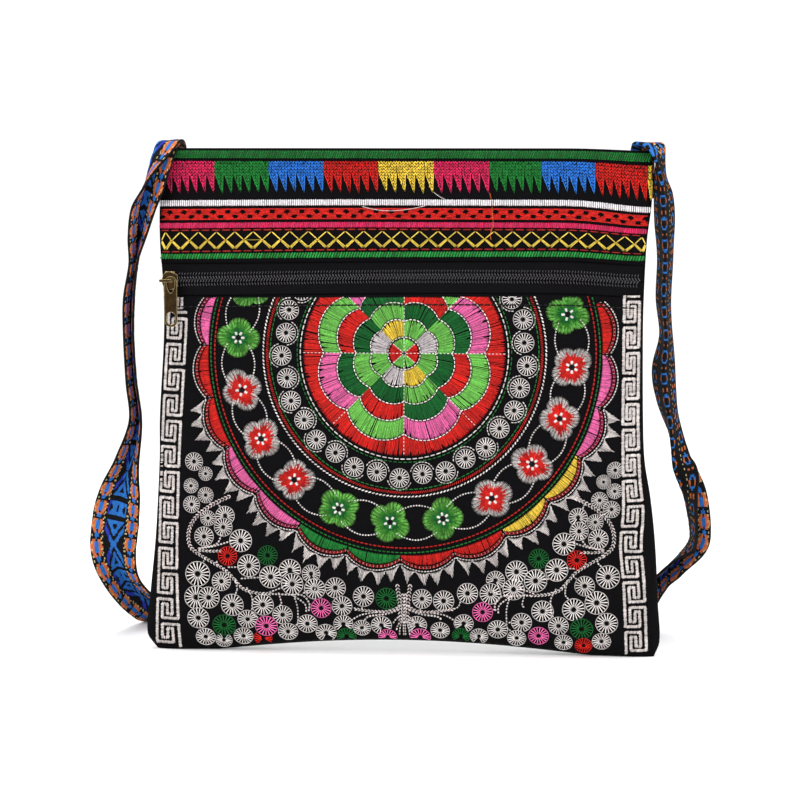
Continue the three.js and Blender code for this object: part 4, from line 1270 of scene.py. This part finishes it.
class BAG_OT_corners(bpy.types.Operator):
    """Embroider the lower corners, the key borders and the line of topstitching under the zip"""

    bl_idname = "bag.corners"
    bl_label = "Corners and borders"

    def execute(self, context):
        sew("corner_garden", above_foot(gather(corner_garden())), front_place, "embroidered_cotton")
        borders = [key_border(*KEY_LEFT, seed=400), key_border(*KEY_RIGHT, seed=600)]
        sew("key_borders", gather(borders), front_place, "embroidered_cotton")
        level = level_points(np.linspace(-124, 122, 300), TOPSTITCHING)
        line = dashes(level, step=3.4, gap=0.0, colour=dye("cloth") * 0.3, width=0.8, proud=0.25, lift=0.5,
                      seed=380)
        sew("topstitching", line, band_place, "embroidered_cotton")
        return {"FINISHED"}


class BAG_OT_trims(bpy.types.Operator):
    """Embroider the upper band: pointed teeth, cords, braid, running stitch and yellow diamonds"""

    bl_idname = "bag.trims"
    bl_label = "Upper band trims"

    def execute(self, context):
        sew("pointed_teeth", gather(pointed_teeth()), band_place, "embroidered_cotton")
        dull_red = dye("red") * (0.5, 0.9, 0.9)
        running = [dashes(band_rows(at), step=5.5, gap=0.55, colour=dull_red, width=0.75, proud=0.35,
                          lift=0.05, seed=320 + k)
                   for k, at in enumerate(RUNNING_ROWS)]
        running += [dashes(smooth_path(path), step=0.8, gap=-0.1, colour=dye(name), width=0.34, proud=0.3,
                           lift=off, seed=325 + k)
                    for k, (name, off, path) in enumerate(LOOSE_ENDS)]
        sew("running_stitch", gather(running), band_place, "embroidered_cotton")
        sew("yellow_diamonds", yellow_lattice(), band_place, "embroidered_cotton")
        green, bright = dye("green"), dye("white") * (1.3, 1.33, 1.42)
        for node, slot, (at, wide), colour, core_shade, pitch, slant, fill, vary in (
            ("top_cord", "green_thread", TOP_CORD, green * 0.7, 0.25, 1.15, 1.5, 0.62, 1.3),
            ("white_cord", "white_thread", WHITE_CORD, bright, 0.4, 1.1, 0.0, 0.72, 0.3),
            ("pink_cord", "pink_thread", PINK_CORD, dye("crimson"), 0.5, 0.95, 0.5, 0.72, 1.0),
            ("green_cord", "green_thread", GREEN_CORD, green, 0.25, 1.45, 1.3, 0.74, 1.4),
        ):
            row = band_rows(at)
            wrap = satin(row, across=wide - 0.2, colour=colour, pitch=pitch, slant=slant, width=pitch * fill,
                         proud=0.75, lift=0.4, ragged=0.05, seed=360, vary=vary)
            # Painted shade: the padding is the cord's thread darkened, and shows between the wraps as shade.
            inside = satin(row, across=wide - 0.5, colour=colour * core_shade, pitch=0.6, slant=0.0, width=0.75,
                           proud=0.8, lift=0.1, ragged=0.0, seed=361)
            cord = sew(f"{node}_thread", gather([inside, wrap]), band_place, slot, PADDED_STITCH)
            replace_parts(cord, node)
        edges = [dashes(band_rows(TOP_CORD[0] + side * (TOP_CORD[1] / 2 - 0.25)), step=1.5, gap=0.4,
                        colour=green * 0.9, width=0.55, proud=0.5, lift=0.3, seed=365) for side in (-1, 1)]
        sew("top_cord_edges", gather(edges), band_place, "green_thread")
        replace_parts(sew("red_braid_thread", red_braid(), band_place, "red_thread"), "red_braid")
        return {"FINISHED"}


class BAG_OT_zip(bpy.types.Operator):
    """Close the zip: two interlocked rows of coil loops, and aged brass on the slider and its pull"""

    bl_idname = "bag.zip"
    bl_label = "Zip"

    def execute(self, context):
        x = np.arange(*COIL_ENDS, COIL_STEP)
        bow = ZIP_MIDDLE + 0.4 + 0.6 * np.sin(math.pi * (x + 119) / 244)
        coil = []
        for side in (-1, 1):
            foot, knee, head = (np.column_stack([x + COIL_SHIFT * side + across, bow + side * up])
                                for across, up in COIL_LOOP)
            coil.append(stitches(foot, knee, dye("cloth"), width=0.75, proud=1.0, lift=0.0, seed=370))
            coil.append(stitches(knee, head, dye("cloth"), width=0.95, proud=1.5, lift=0.1, seed=371))
        nylon = kept_material("drawn nylon", nylon_coil)
        teeth = sew("coil_loops", gather(coil), tape_place, "nylon_coil", PADDED_STITCH, nylon)
        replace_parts(teeth, "zip_coil")
        brass = kept_material("aged cast brass", antique_brass)
        for node in ("zip_slider", "zip_pull"):
            for slot in frame["nodes"][node].material_slots:
                slot.material = brass
        return {"FINISHED"}


def strap_stations(step):
    """Stations along the strap's middle every step millimetres: its place, the way across it, the way its
    face looks, the share that its fold stands open, and the distance from its start."""
    t = np.linspace(0, math.pi, FLOOR_LOOP["rows"] + 1)
    loop = np.column_stack([
        FLOOR_LOOP["x"] - FLOOR_LOOP["across"] * np.cos(t), FLOOR_LOOP["y"] + FLOOR_LOOP["back"] * np.sin(t),
        np.full_like(t, 0.7), np.zeros_like(t), np.full_like(t, -90), np.full_like(t, STRAP_OPEN),
    ])
    rows = np.concatenate([LEFT_FALL, loop, RIGHT_RISE])
    keys = np.arange(len(rows))
    half_thick = sizes().strap_thick / MM / 2

    def middle(at):
        """The strap's middle at places along the rows, kept above the floor."""
        place = along(keys, rows[:, :3], np.clip(at, 0, len(rows) - 1))
        place[:, 2] = np.maximum(place[:, 2], half_thick)
        return place

    fine = np.linspace(0, len(rows) - 1, 8000)
    run = path_run(middle(fine))
    distance = np.linspace(0, run[-1], int(run[-1] / step) + 1)
    at = np.interp(distance, run, fine)
    heading = unit_length(middle(at + 0.05) - middle(at - 0.05))
    swing, rise, fold = along(keys, rows[:, 3:], at).T
    swing, rise = np.radians(swing), np.radians(rise)
    facing = np.column_stack([np.sin(swing) * np.cos(rise), -np.cos(swing) * np.cos(rise), np.sin(rise)])
    facing = unit_length(facing - heading * (facing * heading).sum(1, keepdims=True))
    return middle(at), np.cross(facing, heading), facing, np.clip(fold / STRAP_OPEN, 0.05, 1), distance


def cream_dots(run, across, off):
    """Where cream dots lie along the strap, in a row that is off away."""
    return (np.abs(off) < DOT_HALF) & ((run + across) % DOT_REPEAT < DOT_LONG)


def strap_chart(run, across):
    """Warp colour on the strap's face at a distance along it and a distance from its middle. The middle field
    repeats every 44 mm about a barred block, with a triangle that holds a black one, and arms that cross. The
    borders repeat every 11.4 mm, lenses between leaves, then diamonds, with cream dots beside them."""
    chart = np.full(np.broadcast(run, across).shape, BLACK)
    ahead = np.abs(run % FIELD_REPEAT - FIELD_REPEAT / 2)
    aside = np.abs(across)
    field = aside < FIELD_HALF
    nick = np.abs(aside - 4.0) < 1.1 * (1 - ahead / 3.0)
    notch = (ahead < 2.3) & ((aside < 0.9 * (1 - ahead / 3.4)) | nick)
    bar = (ahead < 4.3) & ~notch & (aside < 5.2)
    width = 4.9 * (1 - (ahead - 7) / 10.5)
    triangle = (ahead > 7) & (aside < width) & ~((ahead > 9) & (aside < width - 2.1))
    arm = (ahead > 9.5) & (aside > width + 1.5) & (aside < width + 3.5)
    chart[field & (bar | triangle | arm)] = BLUE
    chart[field & arm & (across < 0) & (aside > 2.5)] = NAVY
    chart[field & bar & (across < -4.3)] = NAVY
    repeat = (run + np.where(across > 0, 3.0, 0.0)) % BORDER_REPEAT
    from_lens = np.abs(repeat - 3.2)
    off = np.abs(aside - BORDER_MIDDLE)
    lens = (off < 1.25) & (from_lens < 3.2 - 0.8 * off)
    bow = 2.2 - 0.75 * (from_lens / 3.6) ** 2
    leaf = (np.abs(off - bow) < 1.2 - 0.1 * from_lens) & (from_lens < 4.6)
    diamond = off / 1.5 + np.abs(repeat - 8.9) / 1.9 < 1
    chart[leaf] = ORANGE
    chart[lens | diamond] = BLUE
    for row in (12.1, 6.5):
        chart[cream_dots(run, across, aside - row)] = CREAM
    return chart


def face_outside(run, length):
    """Where the strap is folded with its face outside: near its two sewn ends."""
    return (run < FACE_OUTSIDE[0]) | (run > length - FACE_OUTSIDE[1])


def strap_reverse(run, across, length):
    """Warp colour on the strap's reverse: black, with a row of rings in the middle and at each border every
    12 mm, blue above and below and orange at the sides, small orange dots between them and a row of cream
    dots. Near its ends the strap is folded with the face outside, so the face's colours are there."""
    chart = np.full(np.broadcast(run, across).shape, BLACK)
    aside = np.abs(across)
    ahead = np.abs(run % RING_REPEAT - RING_REPEAT / 2)
    for off, reach in ((aside, 2.7), (np.abs(aside - 9.4), 2.1)):
        far = np.hypot(off / reach, ahead / 3.4)
        ring = (far > 0.65) & (far < 1)
        chart[ring & (ahead > 1.4)] = BLUE
        chart[ring & (ahead <= 1.4)] = ORANGE
        chart[(off > 0.8) & (off < 1.6) & (ahead > 5.2)] = ORANGE
    chart[cream_dots(run, across, across - 6.2)] = CREAM
    return np.where(np.broadcast_to(face_outside(run, length), chart.shape), strap_chart(run, across), chart)


def strap_sheet(place, across, facing, share, q):
    """The strap's middle sheet and the way that it looks. Its section is a hyperbola, two arms from a rounded
    crease, which lie across the strap as far as the fold stands open and along its facing for the rest."""
    bowed = np.sqrt(q**2 + CREASE**2) - CREASE
    slope = q / np.sqrt(q**2 + CREASE**2)
    steep = np.sqrt(1 - share**2)[:, None, None]
    share = share[:, None, None]
    across, facing = across[:, None], facing[:, None]
    sheet = place[:, None] + across * q[None, :, None] * share + facing * bowed[None, :, None] * steep
    out = facing * share - across * steep * slope[None, :, None]
    return sheet, unit_length(out)


def float_relief(chart):
    """How far the strap stands up at the corners of a chart's cells: a step for each coloured cell there."""
    height = np.zeros((chart.shape[0] + 1, chart.shape[1] + 1))
    for rows in (slice(None, -1), slice(1, None)):
        for columns in (slice(None, -1), slice(1, None)):
            height[rows, columns] += FLOAT_STEP * (chart > BLACK)
    return height


class BAG_OT_strap(bpy.types.Operator):
    """Weave the shoulder strap: one band folded lengthways, its face and reverse in their own patterns"""

    bl_idname = "bag.strap"
    bl_label = "Strap"

    def execute(self, context):
        wide, thick = sizes().strap_width / MM, sizes().strap_thick / MM
        *stations, distance = strap_stations(STRAP_STEP)
        q = np.linspace(wide / 2, -wide / 2, STRAP_COLUMNS)
        length = distance[-1]
        sheet, out = strap_sheet(*stations, q)
        mid_run, mid_q = ((x[:-1] + x[1:]) / 2 for x in (distance, q))
        face = strap_chart(mid_run[:, None], mid_q)
        reverse = strap_reverse(mid_run[:, None], mid_q, length)
        rim = np.full(2 * (len(distance) + len(q) - 2), BLACK)
        chart = np.concatenate([face.ravel(), reverse.ravel(), rim])
        tone = 0.8 + 0.4 * loose(len(chart), 500)
        # Painted shade: the reverse's floats lie deeper, so they are drawn darker, but not near the ends.
        reverse_shade = np.repeat(np.where(face_outside(mid_run, length), 1.0, 0.7), len(mid_q))
        tone[face.size : face.size + reverse.size] *= reverse_shade
        warp = np.array([dye("cloth") * 0.9, *(dye(f"strap_{name}") for name in STRAP_WARP)])
        front = sheet + out * (thick / 2 - 0.1 + float_relief(face)[..., None])
        back = sheet - out * (thick / 2 - 0.1 + float_relief(reverse)[..., None])
        uv = np.stack(np.meshgrid(q, distance), -1).reshape(-1, 2) / 10
        band = kept_material("woven cotton band", woven_band)
        made = make_piece("strap_band", *shell(front, back), band, "woven_band", warp[chart] * tone[:, None],
                          np.concatenate([uv, uv]))
        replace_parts(made, "strap")
        return {"FINISHED"}


def direction(at, aim):
    """The turn that makes a lamp or camera at one point look at another."""
    return (Vector(aim) - Vector(at)).to_track_quat("-Z", "Y")


def paper_sweep():
    """The stage's paper: the floor runs back and turns up into the backdrop on a quarter circle."""
    front, back, bend, top, half = -3000, 1500, 900, 4000, 4000
    turn = [(back + bend * math.sin(a), bend - bend * math.cos(a)) for a in np.linspace(0, math.pi / 2, 24)]
    run = np.concatenate([[(front, 0)], turn, [(back + bend, top)]])
    x = np.linspace(-half, half, 3)
    points = np.stack([np.tile(x, len(run)), np.repeat(run[:, 0], 3), np.repeat(run[:, 1], 3)], -1)
    return make_piece("paper_sweep", points - ORIGIN * (1, 1, 0), grid_faces(len(run), 3),
                      kept_material("studio paper", studio_paper), body=None)


def white_room(scene):
    """An even white light from all round."""
    world = bpy.data.worlds.new("soft white room")
    world.use_nodes = True
    world.node_tree.nodes["Background"].inputs["Color"].default_value = (1, 1, 1, 1)
    world.node_tree.nodes["Background"].inputs["Strength"].default_value = 0.9
    scene.world = world


def soft_boxes():
    """Square lamps, each with its place, the point it shines at, its size and its power."""
    for name, at, aim, size, power in (
        ("front_soft_box", (-0.7, -1.6, 1.2), (0, -0.1, 0.13), 1.2, 22),
        ("right_soft_box", (1.3, -1.0, 0.9), (0, -0.1, 0.13), 1.0, 10),
        ("top_soft_box", (0.1, 0.1, 1.7), (0, -0.05, 0.1), 1.4, 14),
    ):
        lamp = bpy.data.lights.new(name, "AREA")
        lamp.size, lamp.energy = size, power
        made = bpy.data.objects.new(name, lamp)
        made.location = at
        made.rotation_euler = direction(at, aim).to_euler()
        bpy.context.collection.objects.link(made)


def front_camera(scene):
    """The camera, a little to the right of the bag's front and above it."""
    aim = (np.array([0, 0, VIEW_HEIGHT]) + ORIGIN) * MM
    turn, rise = math.radians(VIEW_TURN), math.radians(VIEW_RISE)
    way = np.array([math.sin(turn) * math.cos(rise), -math.cos(turn) * math.cos(rise), math.sin(rise)])
    lens = bpy.data.cameras.new("camera")
    lens.sensor_width, lens.lens = SENSOR, SENSOR * VIEW_AWAY / VIEW_WIDE
    lens.shift_x, lens.shift_y = -VIEW_SHIFT[0], VIEW_SHIFT[1]
    camera = bpy.data.objects.new("camera", lens)
    camera.location = aim + VIEW_AWAY * way
    camera.rotation_euler = direction(aim + VIEW_AWAY * way, aim).to_euler()
    bpy.context.collection.objects.link(camera)
    scene.camera = camera


class BAG_OT_stage(bpy.types.Operator):
    """Set the pale paper sweep, the soft lights and the camera"""

    bl_idname = "bag.stage"
    bl_label = "Stage"

    def execute(self, context):
        scene = bpy.context.scene
        paper_sweep()
        white_room(scene)
        soft_boxes()
        scene.view_settings.view_transform = "Standard"
        front_camera(scene)
        return {"FINISHED"}


class BAG_PT_panel(bpy.types.Panel):
    """Sidebar panel that lists the bag's pieces, sizes and colours"""

    bl_label = "Embroidered bag"
    bl_idname = "BAG_PT_panel"
    bl_space_type = "VIEW_3D"
    bl_region_type = "UI"
    bl_category = "Bag"

    def draw(self, context):
        for kind in OPERATORS:
            self.layout.operator(kind.bl_idname)
        for group in (context.scene.bag_sizes, context.scene.bag_colours):
            for name in group.__annotations__:
                self.layout.prop(group, name)


OPERATORS = (
    BAG_OT_walls, BAG_OT_medallion, BAG_OT_corners, BAG_OT_trims, BAG_OT_zip, BAG_OT_strap, BAG_OT_stage,
)
CLASSES = (BagColours, BagSizes, *OPERATORS, BAG_PT_panel)


def register():
    """Make the classes and the scene's two groups of settings known."""
    for kind in CLASSES:
        bpy.utils.register_class(kind)
    bpy.types.Scene.bag_colours = PointerProperty(type=BagColours)
    bpy.types.Scene.bag_sizes = PointerProperty(type=BagSizes)


def unregister():
    """Take the classes and settings away again."""
    del bpy.types.Scene.bag_sizes, bpy.types.Scene.bag_colours
    for kind in reversed(CLASSES):
        bpy.utils.unregister_class(kind)


def main():
    """Build every piece in order."""
    register()
    for operator in (bpy.ops.bag.walls, bpy.ops.bag.medallion, bpy.ops.bag.corners, bpy.ops.bag.trims,
                     bpy.ops.bag.zip, bpy.ops.bag.strap, bpy.ops.bag.stage):
        operator()


if __name__ == "__main__":
    main()
